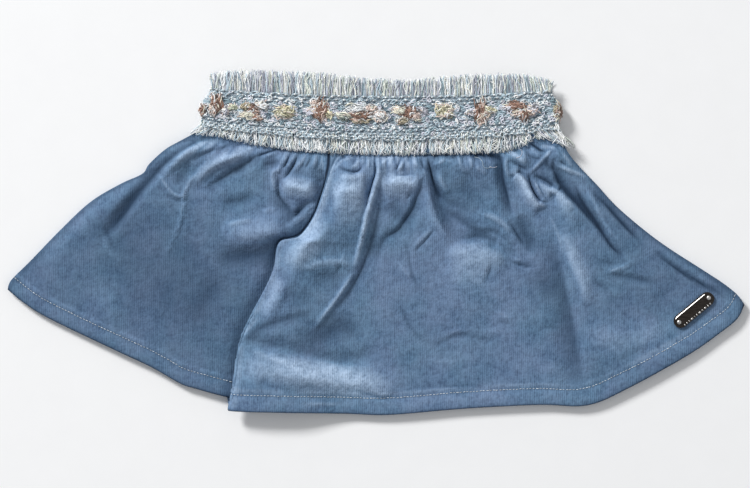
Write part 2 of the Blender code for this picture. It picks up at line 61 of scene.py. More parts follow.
# Layers, counted up from the surface that the skirt lies on
CLOTH = 0.0015
HEM_CLOTH = 0.0021
BRAID = 0.0022
GAP = 0.0003
BACK_LIFT = BRAID + GAP
FRONT_LIFT = CLOTH + GAP
BRAID_SEAT = BACK_LIFT + 2 * CLOTH + 2 * GAP
STACK_TOP = BRAID_SEAT + BRAID

# Waist: the braid sags a little between the side edges
WAIST_MIDDLE_X = 0.010
WAIST_HALF = 0.105
WAIST_TOP_Y = 0.0882
WAIST_TOP_SAG = 0.0042
WAIST_LOW_Y = 0.0636
WAIST_LOW_SAG = 0.0070
PANEL_TOP_INSET = 0.0008
BRAID_LEFT = (-0.0998, -0.1050)
BRAID_RIGHT = (0.1056, 0.1102)
BULGE_SHARE = 0.5

# Zones below the braid
FRINGE_ZONE = 0.011
PUFF_ZONE = 0.018
LANDING = 0.034

# The lapped fold of the front
FOLD_RADIUS = 0.00105
FOLD_OVERLAP = 0.026
FRONT_DELAY = 0.003             # how much lower down the front lands than the back
FLAT_TURN = 0.02                # least angle of the turns, near the waist
TURN_LENGTH = 0.0022
TURN_STEPS = 8
RUN_STEPS = 8

# Gathers, pleats and general puff of the cloth
GATHER_PITCH = 0.0108
GATHER_HEIGHT = 0.0005
GATHER_LENGTH = 0.030
PINCH_PITCH = 0.0067
PINCH_HEIGHT = 0.0009
PINCH_LENGTH = 0.018
PLEAT_PITCH = 0.0041
PLEAT_HEIGHT = 0.00035
PLEAT_LENGTH = 0.0078
# Painted light on the pleats: pale on their crests, painted shade between them
PLEAT_PAINTED_LIGHT = 0.62
SLOW_WAVE = 0.00045
QUICK_WAVE = 0.00018
PUFF = 0.0026
SOFTNESS = 0.0006               # how gently the cloth settles on what is under it
CREST = 0.16                    # how rounded the creases' crests are
RELIEF = 1.3                    # how much higher the creases stand than their rows say

# Hem
BACK_HEM_INSET = 0.0015
HEM_STARTS = 0.84               # fraction down at which the wall begins to thicken
HEM_ROLL = 0.0003
HEM_GROOVE = 0.0004
STITCH_LINE = 0.9455            # fraction down at which the hem is sewn
STITCH_BAND = 0.004
STITCH_PITCH = 0.0020
STITCH_LENGTH = 0.0016
STITCH_RADIUS = 0.00020

# Mesh sizes
LEFT_COLUMNS = 98
RIGHT_COLUMNS = 188
ROW_COUNTS = (0, 80, 139, 146, 149)
ROW_PLACES = (0.0, 0.36, 0.93, 0.985, 1.0)
BACK_COLUMNS = 200
BACK_BODY_ROWS = 70
WAIST_ROWS = 3
BRAID_COLUMNS = 150
BRAID_BODY_ROWS = 12

# Braid: heights above its inner face, and yarns
GROUND_LIFT = 0.0007
GROUND_WALL = 0.0011
TEXTURE_HEIGHT = 0.00012
WEAVE_ACROSS = 0.0014
WEAVE_UP = 0.0011
YARN_COUNT = 9
YARN_RADIUS = 0.00048
CHAIN_RISE = 0.3                # how steeply chains past the braid's edge climb over the fringe
TUFT_DENSITY = 2.4              # threads for each one that a tuft's row counts
TUFT_LIFT = 0.0019
TUFT_RADIUS = 0.00032
LOOP_COUNT = 900
LOOP_LIFT = 0.0017
LOOP_RADIUS = 0.00034

# Fringes and loose ends
FRINGE_INSET = 0.0010
FRINGE_ROOT = 0.0012
FRINGE_RADIUS = 0.00031
LAYER_STEP = 0.00036
UPPER_LEAN = 0.0011
LOWER_LEAN = 0.0019
CLUMP_LEAN = 0.0009
STRAY_POINTS = 18
STRAY_RADIUS = 0.00011
STRAY_LIFT = 0.0002
RAY_START = 0.1                 # height above everything, to look down from

# Seeds of the random draws
STITCH_SEED = 5
CHAIN_SEED = 11
TUFT_SEED = 23
FRINGE_SEED = 37

# Metal plate
PLATE_X = 0.1908
PLATE_Y = -0.0402
PLATE_ANGLE = math.radians(39.5)
PLATE_LENGTH = 0.029
PLATE_WIDTH = 0.0084
PLATE_THICK = 0.0014
PLATE_RIM = 0.00075
PLATE_SLOPE = 0.00042
PLATE_RISE = 0.00023
PLATE_STEPS = 16
PLATE_BEVEL = 0.00006
RIVET_HEAD = 0.0014
RIVET_PLACE = 0.0115
HEAD_FLATNESS = 0.6
BEAD_RADIUS = 0.00058
BEAD_FLATNESS = 0.5
BEAD_UNIT = 0.0001              # what the beads' lengths are counted in
BEAD_LENGTHS = (4, 5, 4, 9, 3, 5, 9, 4, 8, 5, 4)
SUNK = 0.0001                   # how deep beads and rivet heads sit in the plate
NEARLY_ZERO = 1e-6

# Stage
FLOOR_LEVEL = -0.0003
FLOOR_REACH = 2.5
CAMERA_PLACE = (-0.0006, -0.0006, 1.6)
SENSOR_WIDTH = 36.0
SHOWN_WIDTH = 0.450
SHOWN_LEVEL = 0.005             # height at which the picture is as wide as SHOWN_WIDTH
SKY_COLOUR = (0.95, 0.97, 1.0, 1.0)
SKY_STRENGTH = 0.40

# Name, place, size and power of each light
LIGHTS = (("key", (-3.00, 3.30, 2.60), 1.15, 292.0), ("fill", (1.80, -0.60, 2.40), 2.4, 6.0))

Point = namedtuple("Point", "x y")
Stroke = namedtuple("Stroke", "height tone lit far line")
Tuft = namedtuple("Tuft", "x y half_width half_height angle spread colour count")
Fold = namedtuple("Fold", "x y sections advance rise")
ChainRow = namedtuple("ChainRow", "share stagger spacing size")
FringeEdge = namedtuple("FringeEdge", "name node edge tips level layers wave palette shares")


def stroke_rows(*rows):
    """Read rows of numbers as strokes."""
    return [Stroke(*row[:4], row[4:]) for row in rows]


# Plan outline, followed from the braid down to the hem
LEFT_EDGE = [Point(-0.1010, 0.0700), Point(-0.1176, 0.0612), Point(-0.1266, 0.0560),
             Point(-0.1362, 0.0474), Point(-0.1404, 0.0416), Point(-0.1536, 0.0354),
             Point(-0.1716, 0.0246), Point(-0.1896, 0.0078), Point(-0.2080, -0.0112),
             Point(-0.2190, -0.0222), Point(-0.2212, -0.0280)]
RIGHT_EDGE = [Point(0.1062, 0.0694), Point(0.1120, 0.0600), Point(0.1180, 0.0505),
              Point(0.1320, 0.0356), Point(0.1460, 0.0206), Point(0.1700, 0.0010),
              Point(0.1970, -0.0166), Point(0.2080, -0.0238), Point(0.2170, -0.0310),
              Point(0.2212, -0.0372)]
FOLD_EDGE = [Point(-0.0270, 0.0650), Point(-0.0282, 0.0540), Point(-0.0290, 0.0430),
             Point(-0.0324, 0.0300), Point(-0.0378, 0.0156), Point(-0.0468, 0.0036),
             Point(-0.0584, 0.0000), Point(-0.0615, -0.0144), Point(-0.0666, -0.0270),
             Point(-0.0810, -0.0558), Point(-0.0846, -0.0804), Point(-0.0876, -0.0996)]
LEFT_HEM = [Point(-0.2212, -0.0280), Point(-0.2120, -0.0355), Point(-0.1970, -0.0450),
            Point(-0.1570, -0.0642), Point(-0.1356, -0.0742), Point(-0.1176, -0.0844),
            Point(-0.1086, -0.0874), Point(-0.0910, -0.0922)]
RIGHT_HEM = [Point(-0.0876, -0.0996), Point(-0.0820, -0.1010), Point(-0.0190, -0.1025),
             Point(0.0080, -0.1032), Point(0.0530, -0.0995), Point(0.0980, -0.0972),
             Point(0.1270, -0.0975), Point(0.1520, -0.0870), Point(0.1880, -0.0670),
             Point(0.2070, -0.0538), Point(0.2170, -0.0455), Point(0.2212, -0.0372)]

# Ridges (height above zero) and troughs (below zero) of the front, in millimetres. A row has
# the height, the tone, the widths of the left and the right flank, then the line's x and y in
# turn. Tone is painted light: above zero the pile is painted pale, partly as rubbed wear and
# partly as painted highlight, and below zero it is painted shade.
# LEFT_STROKES lie left of the lapped fold, RIGHT_STROKES on it and right of it.
LEFT_STROKES = stroke_rows(
    (-2.6, -0.75, 5.5, 4.0, -102, 65, -117, 56, -130, 44, -139, 34, -147, 24, -157, 11, -167, 1),
    (1.6, 0.52, 2.2, 4.0, -91, 62.5, -98, 61, -106, 58, -114, 54, -121, 48, -129, 42),
    (-1.2, -0.55, 2.6, 2.0, -82, 60, -90, 57.5, -102, 53.5, -110, 48),
    (-0.8, -0.30, 4.0, 4.0, -110, 48, -115, 40, -120, 34),
    (1.0, 0.50, 1.1, 1.3, -131, 42, -126, 35, -122, 30, -118, 28, -114, 30),
    (-0.6, -0.40, 1.1, 1.5, -127, 30, -122, 26.5, -117, 25, -112, 26.5),
    (2.1, 0.66, 4.6, 3.8, -68, 59.5, -75, 57, -80, 54, -86, 51, -92, 49, -99, 45.5, -106, 39,
     -110, 35),
    (0.9, 0.48, 1.1, 1.5, -104, 43, -111, 38, -114.5, 31, -116, 22, -118, 12, -122, 2, -127, -9),
    (-1.5, -0.48, 2.2, 5.0, -58, 56, -66, 54, -71, 52, -77, 48.5, -84, 45, -90, 41, -97, 36,
     -103, 31),
    (-1.0, -0.90, 1.3, 1.1, -57, 56, -62, 55, -67, 53.5, -71, 52),
    (0.9, 0.50, 1.0, 1.6, -69, 51, -65, 52.5, -61, 54.5, -57, 55.5),
    (-1.4, -0.50, 4.5, 4.0, -58, 50, -63, 47, -68, 48),
    (0.9, 0.50, 1.0, 1.0, -52.5, 55, -54.5, 50, -56, 46),
    (-1.0, -0.65, 0.9, 1.2, -50.5, 55.5, -52.5, 51, -54.3, 47.5, -56.5, 44),
    (0.9, 0.35, 1.3, 1.5, -48.5, 54, -50.5, 49.5, -53, 45),
    (-1.3, -0.78, 1.2, 1.5, -46, 54.5, -48, 50, -50.5, 45.5, -53, 41, -56, 37.5),
    (0.8, 0.35, 1.3, 1.6, -43, 54, -45.5, 48.5, -48.5, 43),
    (-0.9, -0.55, 0.8, 1.2, -38.5, 54, -40, 49, -42.5, 44.5),
    (0.5, 0.55, 0.6, 0.7, -54, 55.5, -55.5, 51.5, -58, 46, -60, 40, -60.5, 36),
    (0.5, 0.50, 0.6, 0.8, -41.5, 54, -43.5, 50, -46, 46),
    (0.4, 0.50, 0.6, 0.7, -33, 53.8, -32.6, 50, -33.6, 46.5, -35.5, 43),
    (0.9, 0.40, 1.3, 1.6, -35.5, 54, -36.5, 49, -38.5, 44),
    (0.5, 0.40, 0.9, 0.9, -33.5, 49, -31.8, 47, -33, 43.5),
    (-0.5, -0.90, 1.0, 1.0, -28, 54, -42, 54.6, -56, 56, -68, 58.3),
    (1.2, 0.45, 1.5, 1.8, -57, 43.5, -60.5, 43.5, -62, 40, -61, 34, -59, 29),
    (-0.9, -0.42, 1.2, 1.8, -57.5, 40, -59, 34, -58.5, 29, -55, 24, -51, 20),
    (3.2, 1.00, 6.5, 7.0, -57, 33.5, -50, 34, -43, 32.5, -36, 28),
    (-1.4, -0.60, 6.0, 2.6, -60, 33, -57, 25.5, -52, 20, -48.5, 16, -44, 20.5, -39, 25.5),
    (-0.8, -0.45, 3.4, 1.0, -38.5, 26, -43, 21.5, -49, 15.5),
    (1.0, 0.55, 1.0, 1.2, -35.5, 25, -40, 20.5, -45, 16, -50, 12, -54, 8.5),
    (-0.5, -0.40, 0.9, 0.9, -37, 22.6, -42, 18.4, -47, 14, -52, 10),
    (0.5, 0.40, 0.9, 0.9, -37, 20.8, -42, 16.6, -48, 11.8, -52, 8),
    (3.0, 0.55, 13.0, 9.0, -93, 9, -78, 5, -66, 6, -54, 8),
    (0.5, 0.25, 1.5, 2.0, -90, 11, -82, 12.5, -74, 14),
    (0.5, 0.25, 1.3, 1.8, -68, 18, -64, 20, -60, 19.5),
    (-1.2, -0.42, 5.0, 5.0, -92, 24, -82, 25, -72, 29),
    (-1.2, -0.55, 7.0, 9.0, -97, -10, -84, -8, -72, -7, -57, -6),
    (0.8, 0.22, 5.0, 5.0, -64, -14, -70, -24, -76, -34),
    (0.9, 0.25, 9.0, 9.0, -148, 36, -168, 22, -186, 6, -202, -10),
    (0.5, 0.35, 1.2, 1.6, -165, 9, -163, 1, -159, -7, -153, -11),
    (-0.4, -0.28, 1.2, 1.6, -163, 10, -160, 2, -156, -5),
    (-0.4, -0.25, 9.0, 9.0, -92, -18, -100, -30, -112, -50),
    (0.5, 0.14, 12.0, 14.0, -150, -20, -162, -38, -172, -50),
    (0.0, -0.22, 30.0, 34.0, -100, -4, -118, -24, -130, -50),
    (0.0, -0.20, 22.0, 26.0, -150, 24, -150, -8, -160, -30),
)

RIGHT_STROKES = stroke_rows(
    # The lapped fold's edge, and the tall ridge right of it
    (2.6, 0.80, 8.0, 12.0, -33, 18, -40, 5, -46, -6, -56, -13),
    (0.6, 0.45, 2.2, 4.0, -28, 50, -29, 38, -31, 26, -36, 14),
    (0.5, 0.55, 0.7, 0.8, -20, 53.5, -23, 50.5, -25.5, 46, -27.5, 41),
    (0.4, 0.45, 0.6, 0.7, -12, 52.8, -15, 50.8, -18, 49.3),
    (-0.5, -0.55, 0.7, 0.8, -13, 52.8, -12.2, 50, -13.8, 47.5),
    (0.4, 0.50, 0.7, 0.8, -4.2, 52.8, -4, 49, -5.4, 45),
    (-0.5, -0.50, 0.7, 0.8, -6, 52.8, -6.2, 49.6, -7.2, 46.5),
    (-1.0, -0.95, 1.0, 1.1, -23.5, 54, -25, 50, -26.7, 46, -28.5, 42),
    (0.8, 0.50, 1.0, 1.6, -15, 52.8, -19, 50, -22.5, 47, -25, 43),
    (-0.8, -0.65, 0.9, 0.9, -21.5, 50.5, -19, 51, -16.5, 52.8),
    (2.0, 0.50, 5.0, 7.0, -59, -19, -60, -29, -65, -38, -70, -44),
    (0.8, 0.34, 1.6, 1.6, -68, -43, -74, -49, -80, -56),
    (3.6, 0.66, 12.0, 24.0, -27, 30, -18, 30, -6, 31),
    (0.0, 0.35, 6.0, 5.0, -27, 31, -15, 33, -5, 35),
    (-1.6, -0.90, 1.5, 1.4, -23, 46, -18, 43.3, -13, 42.2, -9.5, 43.6, -8, 47),
    (0.7, 0.55, 1.2, 1.2, -15, 45, -12, 46.5, -10.5, 49, -10, 52),
    (0.4, 0.50, 2.0, 3.0, -22, 40.5, -14, 39, -6, 41),
    (-1.6, -0.72, 1.3, 0.9, -0.5, 53.5, -0.6, 49, -0.2, 45, -0.4, 41, -1.8, 36.5, -3, 31.5,
     -4.6, 26),
    (-0.4, -0.75, 0.8, 0.8, -0.1, 46.5, -0.2, 43, -0.8, 39.5, -1.9, 36),
    (-0.6, -0.35, 4.5, 1.0, -0.5, 40, -2.4, 34, -4.6, 26),
    (2.3, 0.86, 1.3, 2.5, 1.8, 48, 1.3, 42, 0, 37, -1.8, 31, -4, 23, -6, 15, -8, 6, -10.5, -4,
     -14, -16),
    (1.5, 0.62, 1.1, 1.9, -13, -16, -19, -26, -26, -36, -33, -45, -39, -53),
    (-1.2, -0.52, 1.6, 5.0, 3.6, 30, 1.2, 18, -1.5, 7, -5, -5, -9.5, -17, -16.5, -29, -24, -39),
    (1.3, 0.40, 1.6, 8.0, -43, -15, -33, -11, -22, -11, -16, -17),
    (-0.8, -0.38, 7.0, 7.0, -38, -24, -28, -20, -20, -24),
    (-0.9, -0.32, 8.0, 8.0, -54, -26, -46, -33, -36, -34),
    (-0.9, -0.62, 2.6, 4.5, -86, -60, -78, -56.5, -68, -50, -56, -46, -46, -43.5, -36, -42),
    (-0.7, -0.40, 1.3, 2.0, -82, -57, -72, -57.5, -62, -60, -54, -61),
    (-1.0, -0.62, 10.0, 9.0, -48, -54, -36, -57, -20, -50, -10, -58),
    # The swell above the hem, with painted highlight on it
    (-1.8, -0.35, 5.0, 6.0, -79, -57, -60, -60, -44, -65, -30, -69, -12, -69, 2, -64),
    (2.8, 0.72, 14.0, 9.0, -84, -66, -66, -75, -46, -80, -26, -83, -6, -86, 12, -92),
    (0.5, 0.38, 2.2, 2.2, -76, -63, -66, -68, -54, -72, -44, -76),
    (0.5, 0.38, 2.0, 2.0, -38, -70, -24, -76, -10, -82, 0, -88),
    (-0.9, -0.65, 1.2, 1.4, -14, -88, -4, -90.5, 5, -93, 11, -91),
    (-0.6, -0.42, 1.2, 1.3, -56, -89, -52, -89.5, -48, -89),
    (0.4, 0.30, 1.3, 1.5, -46, -97, -32, -96.5, -20, -97),
    (0.0, 0.50, 8.0, 8.0, -62, -70, -40, -76, -20, -80, 2, -84, 10, -88),
    # Middle gathers
    (0.0, 0.27, 22.0, 22.0, -22, 40, 8, 40, 26, 40),
    (2.4, 0.66, 5.5, 10.0, 3, 34, 12, 36.3, 20, 35.5, 25, 33),
    (0.0, 0.32, 2.6, 4.5, 8, 38, 14, 38.3, 20, 37, 24, 34.5),
    (-0.6, -0.45, 1.1, 0.9, 10.5, 40.9, 14, 40.3, 18.5, 40.5, 21.5, 41.3),
    (0.8, 0.60, 1.0, 1.6, 3.6, 46.5, 5.5, 49.6, 9.5, 51.4, 14, 51.9),
    (0.4, 0.45, 0.6, 0.7, 8.5, 52.4, 8.6, 49.6, 7.6, 46.6),
    (-0.5, -0.50, 0.6, 0.8, 10.4, 52.4, 10.6, 49.8, 9.8, 47.2),
    (-1.0, -0.90, 0.9, 1.0, 15.2, 53, 14.6, 49.8, 13.2, 46, 11.8, 43.3),
    (0.7, 0.40, 1.0, 1.4, 17.2, 52.5, 16.4, 49, 14.8, 45.5, 13.4, 42.8),
    (-0.7, -0.75, 0.9, 0.9, 20, 53.2, 19.4, 51, 19.2, 48),
    (0.6, 0.45, 0.9, 1.0, 22.5, 52, 23.5, 48, 26.5, 44),
    (0.6, 0.50, 0.7, 0.9, 28.8, 52.5, 29.2, 48.5, 29, 44, 29.6, 40),
    (-1.1, -0.95, 0.9, 2.0, 26.4, 53, 26.7, 49.3, 28.1, 45.6, 30.6, 42.3),
    (-1.9, -0.66, 2.2, 6.5, 28.5, 39, 26.7, 33, 24.7, 28, 22.2, 22, 19, 16, 14, 9, 7, 3),
    (-1.0, -0.45, 6.0, 7.0, 8, 24, 14, 17, 14, 11),
    (-0.9, -0.55, 4.0, 3.0, 13, 8, 6, 3, 2, -4, 0, -12),
    (2.0, 0.25, 8.0, 2.0, 29, 46, 30, 38, 32, 28, 35, 17, 40, 8, 47, 1),
    (-2.0, -0.60, 1.6, 4.5, 31.1, 53, 31.6, 48, 32.7, 43, 34, 37, 36, 31, 38, 25),
    (-1.4, -0.52, 3.2, 7.0, 34, 37, 36.5, 29, 39.5, 20, 43.5, 10, 48, 2),
    (-0.8, -0.75, 0.9, 1.4, 30.8, 53.5, 31.3, 49, 32.3, 44, 33.6, 38, 35, 34),
    (-0.8, -0.35, 2.4, 4.0, 35.5, 34, 39, 28.5, 44, 24.5, 50, 21.5, 58, 18),
    (0.8, 0.40, 2.2, 2.6, 36.5, 42, 39.5, 36, 43, 30),
    (-1.0, -0.50, 3.0, 5.0, 42, 20, 50, 14, 60, 8, 70, 5),
    (-0.8, -0.30, 14.0, 12.0, 46, 36, 56, 28, 64, 20),
    (0.8, 0.45, 1.2, 1.4, 34, 46.5, 38, 48.3, 41.5, 50.3),
    (0.6, 0.45, 1.0, 1.0, 41.5, 51, 43.5, 49.3, 44.6, 47),
    (-0.6, -0.55, 1.0, 1.2, 44.5, 52.5, 46.5, 50, 46.8, 47.5),
    (0.8, 0.50, 0.9, 0.9, 55.3, 52.5, 56.6, 49, 57.5, 44.5),
    (-0.8, -0.65, 0.9, 1.8, 58.2, 52.5, 59, 50, 59.2, 47.5),
    (-0.5, -0.50, 0.7, 0.9, 37, 52.5, 37.4, 49.5, 36.6, 46.5),
    (0.4, 0.40, 0.7, 0.9, 48.8, 52.3, 49.8, 49, 50.4, 45.5),
    (-0.4, -0.45, 0.7, 0.8, 51.4, 52.3, 52, 49.4, 52.2, 47),
    (0.6, 0.25, 3.0, 3.0, 50, 47, 53, 44, 57, 46),
    (0.6, 0.35, 2.5, 3.0, 60, 46.5, 63, 43.5, 66, 41),
    (-0.55, -0.40, 1.0, 1.3, 35.5, 8.5, 31, 3, 27, -1.5, 22, -6),
    (0.4, 0.35, 2.0, 1.3, 33.5, 9, 28.5, 3.5, 22.5, -2.5),
    (-0.5, -0.35, 1.3, 1.8, 17, 3, 20, -10, 23, -22, 30, -31),
    (0.5, 0.30, 1.2, 1.8, 12, -10, 18, -18, 22, -26),
    (1.8, 0.66, 8.5, 18.0, 42, -6.5, 54, -6, 66, -7, 79, -12),
    (-1.1, -0.42, 6.0, 3.0, 46, 3, 53, 2, 61, 3.5, 69, 2, 77, -3, 85, -9),
    (0.5, 0.20, 14.0, 16.0, 36, -20, 54, -24, 76, -24),
    (-0.5, -0.90, 1.1, 1.0, -27, 53.6, 0, 52.9, 20, 52.6, 45, 53, 62, 53.6),
    (-0.4, -0.50, 2.2, 2.0, 27, 52, 33, 52, 44, 52, 56, 52, 62, 52.5),
    (-1.4, -1.20, 2.6, 3.4, 55, 54, 62, 53, 69, 52.5, 76, 50.5),
    # Right gathers
    (-2.6, -1.00, 5.5, 1.8, 72, 55, 75.5, 50, 76, 44, 76.6, 38, 78.5, 31, 80.3, 23, 82, 15),
    (0.9, 0.50, 1.0, 1.6, 78.8, 52, 77.4, 47.5, 78.2, 43, 80.2, 39),
    (1.4, 0.78, 2.0, 2.0, 73, 54.5, 77.5, 56, 82, 53.2, 87, 50, 90, 46.5),
    (-1.2, -0.70, 1.6, 1.8, 80.5, 49.5, 84, 47.2, 88, 45, 91.5, 43.3),
    (-1.4, -0.65, 6.0, 8.0, 87, 17, 88, 10, 91, 2, 96, -6),
    (1.2, 0.48, 2.6, 3.0, 63, 18, 70, 15.5, 76, 11.5, 81, 6),
    (-1.1, -0.80, 1.0, 1.8, 79, 13, 82.3, 8.5, 85, 4, 89, -2),
    (-0.9, -0.50, 1.6, 3.0, 66, 9, 75, 4, 83, -3),
    (-0.9, -0.90, 1.2, 1.4, 81, -11, 87, -13, 94, -14),
    (0.6, 0.35, 1.2, 1.4, 79, -8, 84, -9.3, 88, -9),
    (2.6, 0.70, 6.5, 1.6, 79, 42, 84, 41.5, 88.5, 37.5, 91.5, 32, 94.5, 26, 98, 22.8, 102.5, 22.3),
    (0.4, 0.70, 2.8, 1.4, 82, 41.5, 87, 38.5, 90.5, 33.5, 93.5, 27.5, 97, 23.2, 102, 22.3),
    (-1.8, -1.25, 1.2, 1.1, 91.5, 41.5, 92.4, 37, 93.8, 32.5, 96.5, 28, 99.5, 24.9, 103.5, 23.8),
    (0.8, 0.60, 0.9, 0.9, 94.3, 38.5, 96.4, 34.5, 98.6, 30, 101.2, 26.3),
    (-0.7, -0.65, 0.9, 0.9, 96.3, 37, 98.6, 32, 100.6, 28.2, 103.5, 24.8),
    (1.5, 0.80, 5.0, 1.6, 96.5, 36.8, 100.5, 33.8, 105, 31.3, 110, 29.5, 115, 25, 119, 20),
    (-1.6, -0.90, 1.5, 2.2, 94.5, 40.5, 98, 39, 103, 36.5, 107.5, 33.2, 111.5, 31),
    (1.0, 0.62, 1.0, 1.1, 91.5, 41.5, 95.5, 45.5, 100, 50.3, 104, 54.5, 107.5, 58.5),
    (0.7, 0.45, 0.9, 1.0, 87.3, 56.5, 88.6, 52.5, 89.6, 48.5),
    (-1.2, -1.20, 1.4, 1.5, 91.5, 60.5, 95, 58, 98.5, 55.5, 102.5, 54.8),
    (-0.8, -0.60, 1.4, 1.6, 90.5, 56, 91.5, 52.5, 95, 50.8, 99, 50.2),
    (0.7, 0.25, 1.2, 1.5, 92, 56.8, 95.5, 54, 98.5, 51.8),
    (0.8, 0.65, 1.5, 2.0, 98.5, 58.5, 103, 57.8, 107, 56.5),
    (-0.8, -0.45, 2.4, 2.4, 101, 52, 103, 47, 106, 43),
    (-3.0, -1.15, 1.8, 6.0, 107, 51.5, 106.2, 46.5, 107.8, 41, 110.5, 35, 115.5, 28.5, 121, 23,
     126.5, 16.5, 132, 10.5, 137.5, 4.5),
    (-0.8, -0.85, 1.1, 1.3, 110.3, 49.8, 112, 47.8, 114.3, 46.6),
    (1.2, 0.80, 1.3, 1.6, 107.8, 50.5, 109, 47.2, 112, 45, 117.5, 42.7, 123, 41, 129, 39),
    (0.9, 0.45, 1.4, 2.0, 111, 54, 114.5, 50, 117.5, 45),
    (-1.0, -0.60, 1.4, 2.2, 117, 37, 120.5, 32.5, 123, 26.5, 126.5, 20.5, 131, 14, 135, 8),
    (1.2, 0.42, 1.4, 2.0, 125.5, 34, 128.5, 28.5, 131.5, 22.5, 135, 15.5, 141, 6, 150, -3),
    (-2.0, -1.00, 1.6, 2.6, 131, 12, 135, 7, 138, 2.5, 142, -3, 149, -9),
    (-1.9, -0.90, 1.8, 3.2, 129, 31.5, 133, 27.5, 138, 22.5, 145, 14.5, 152, 7, 160, -1),
    (1.2, 0.25, 8.0, 8.0, 107, 26, 114, 19, 120, 9),
    (1.8, 0.62, 4.0, 8.0, 111, 8, 115, -2, 119, -12, 124, -24, 126, -38),
    (0.4, 0.35, 1.2, 1.6, 104, 18, 107, 10, 110, 2, 112, -8),
    (-1.5, -0.60, 14.0, 3.0, 103, 4, 109, -10, 113, -26, 117, -44, 120, -62, 125, -88),
    (-0.6, -0.30, 10.0, 10.0, 96, -16, 100, -26, 105, -36),
    (0.9, 0.60, 1.2, 2.0, 137, -17.5, 145, -15.5, 151, -13, 154, -10),
    (-0.7, -0.50, 1.2, 1.6, 134, -10, 140, -12, 145, -12),
    (-0.9, -0.50, 2.4, 3.0, 138, -19, 150, -20, 160, -22, 170, -25),
    (-0.5, -0.38, 1.8, 2.2, 130, -21, 135, -26, 141, -28),
    (-1.4, -0.85, 1.8, 2.8, 166, -4, 177, -13, 189, -21, 202, -28, 211, -33),
    (1.0, 0.30, 1.8, 2.4, 166, 1, 178, -8, 190, -16, 203, -25),
    (0.7, 0.42, 14.0, 16.0, 122, -56, 142, -58, 162, -56, 184, -46),
    (-0.5, -0.35, 1.6, 2.0, 142, -71, 155, -66, 166, -60),
    (0.6, 0.35, 1.8, 2.6, 148, -76, 168, -67, 186, -57, 202, -46),
    (-0.5, -0.42, 1.2, 2.0, 14, -37, 19, -48, 26, -57, 34, -62),
    (-0.6, -0.45, 1.3, 2.4, 34, -62, 40, -59.5, 46, -56, 55, -55, 65, -57.5, 72, -57),
    (0.4, 0.25, 1.2, 1.6, 40, -56, 48, -52.5, 56, -52),
    (0.5, 0.35, 1.2, 1.4, 72, -41, 76, -43, 81, -45),
    (-0.5, -0.40, 1.2, 1.4, 73, -46, 77, -47.5, 82, -48),
    (-0.3, -0.28, 1.4, 1.8, 24, -86, 48, -85.5, 72, -86),
    (0.3, 0.22, 1.3, 1.6, 64, -52, 72, -53, 84, -51),
    (-0.3, -0.25, 1.3, 1.6, 96, -52, 104, -50, 112, -52),
    (0.3, 0.25, 1.2, 1.5, 30, -70, 40, -71.5, 52, -70),
)

# The way from a stroke to the flank on its left
NEAR_SIDE = Point(-0.93, 0.36)

BROWN = (0.310, 0.172, 0.122)
RUST = (0.400, 0.235, 0.170)
PEACH = (0.800, 0.640, 0.560)
SAND = (0.540, 0.470, 0.330)
CREAM = (0.880, 0.840, 0.690)
YELLOW = (0.790, 0.740, 0.500)
LILAC = (0.740, 0.740, 0.820)
WHITE = (0.920, 0.940, 0.940)
PALE_BLUE = (0.520, 0.640, 0.710)
TEAL = (0.260, 0.370, 0.420)
SLATE = (0.130, 0.190, 0.250)
GREY_VIOLET = (0.460, 0.480, 0.560)
LIME = (0.700, 0.740, 0.560)
LEAF = (0.300, 0.350, 0.310)
OYSTER = (0.840, 0.840, 0.760)
SAGE = (0.640, 0.700, 0.640)
# Near-black painted shadow for the darkest creases, such as the gap beside the lapped fold
PAINTED_BLACK_SHADOW = (0.006, 0.012, 0.026)
BRAID_FLECK = (0.420, 0.470, 0.520)

WALE_WANDER = 0.0035            # how far the cords stray from straight lines

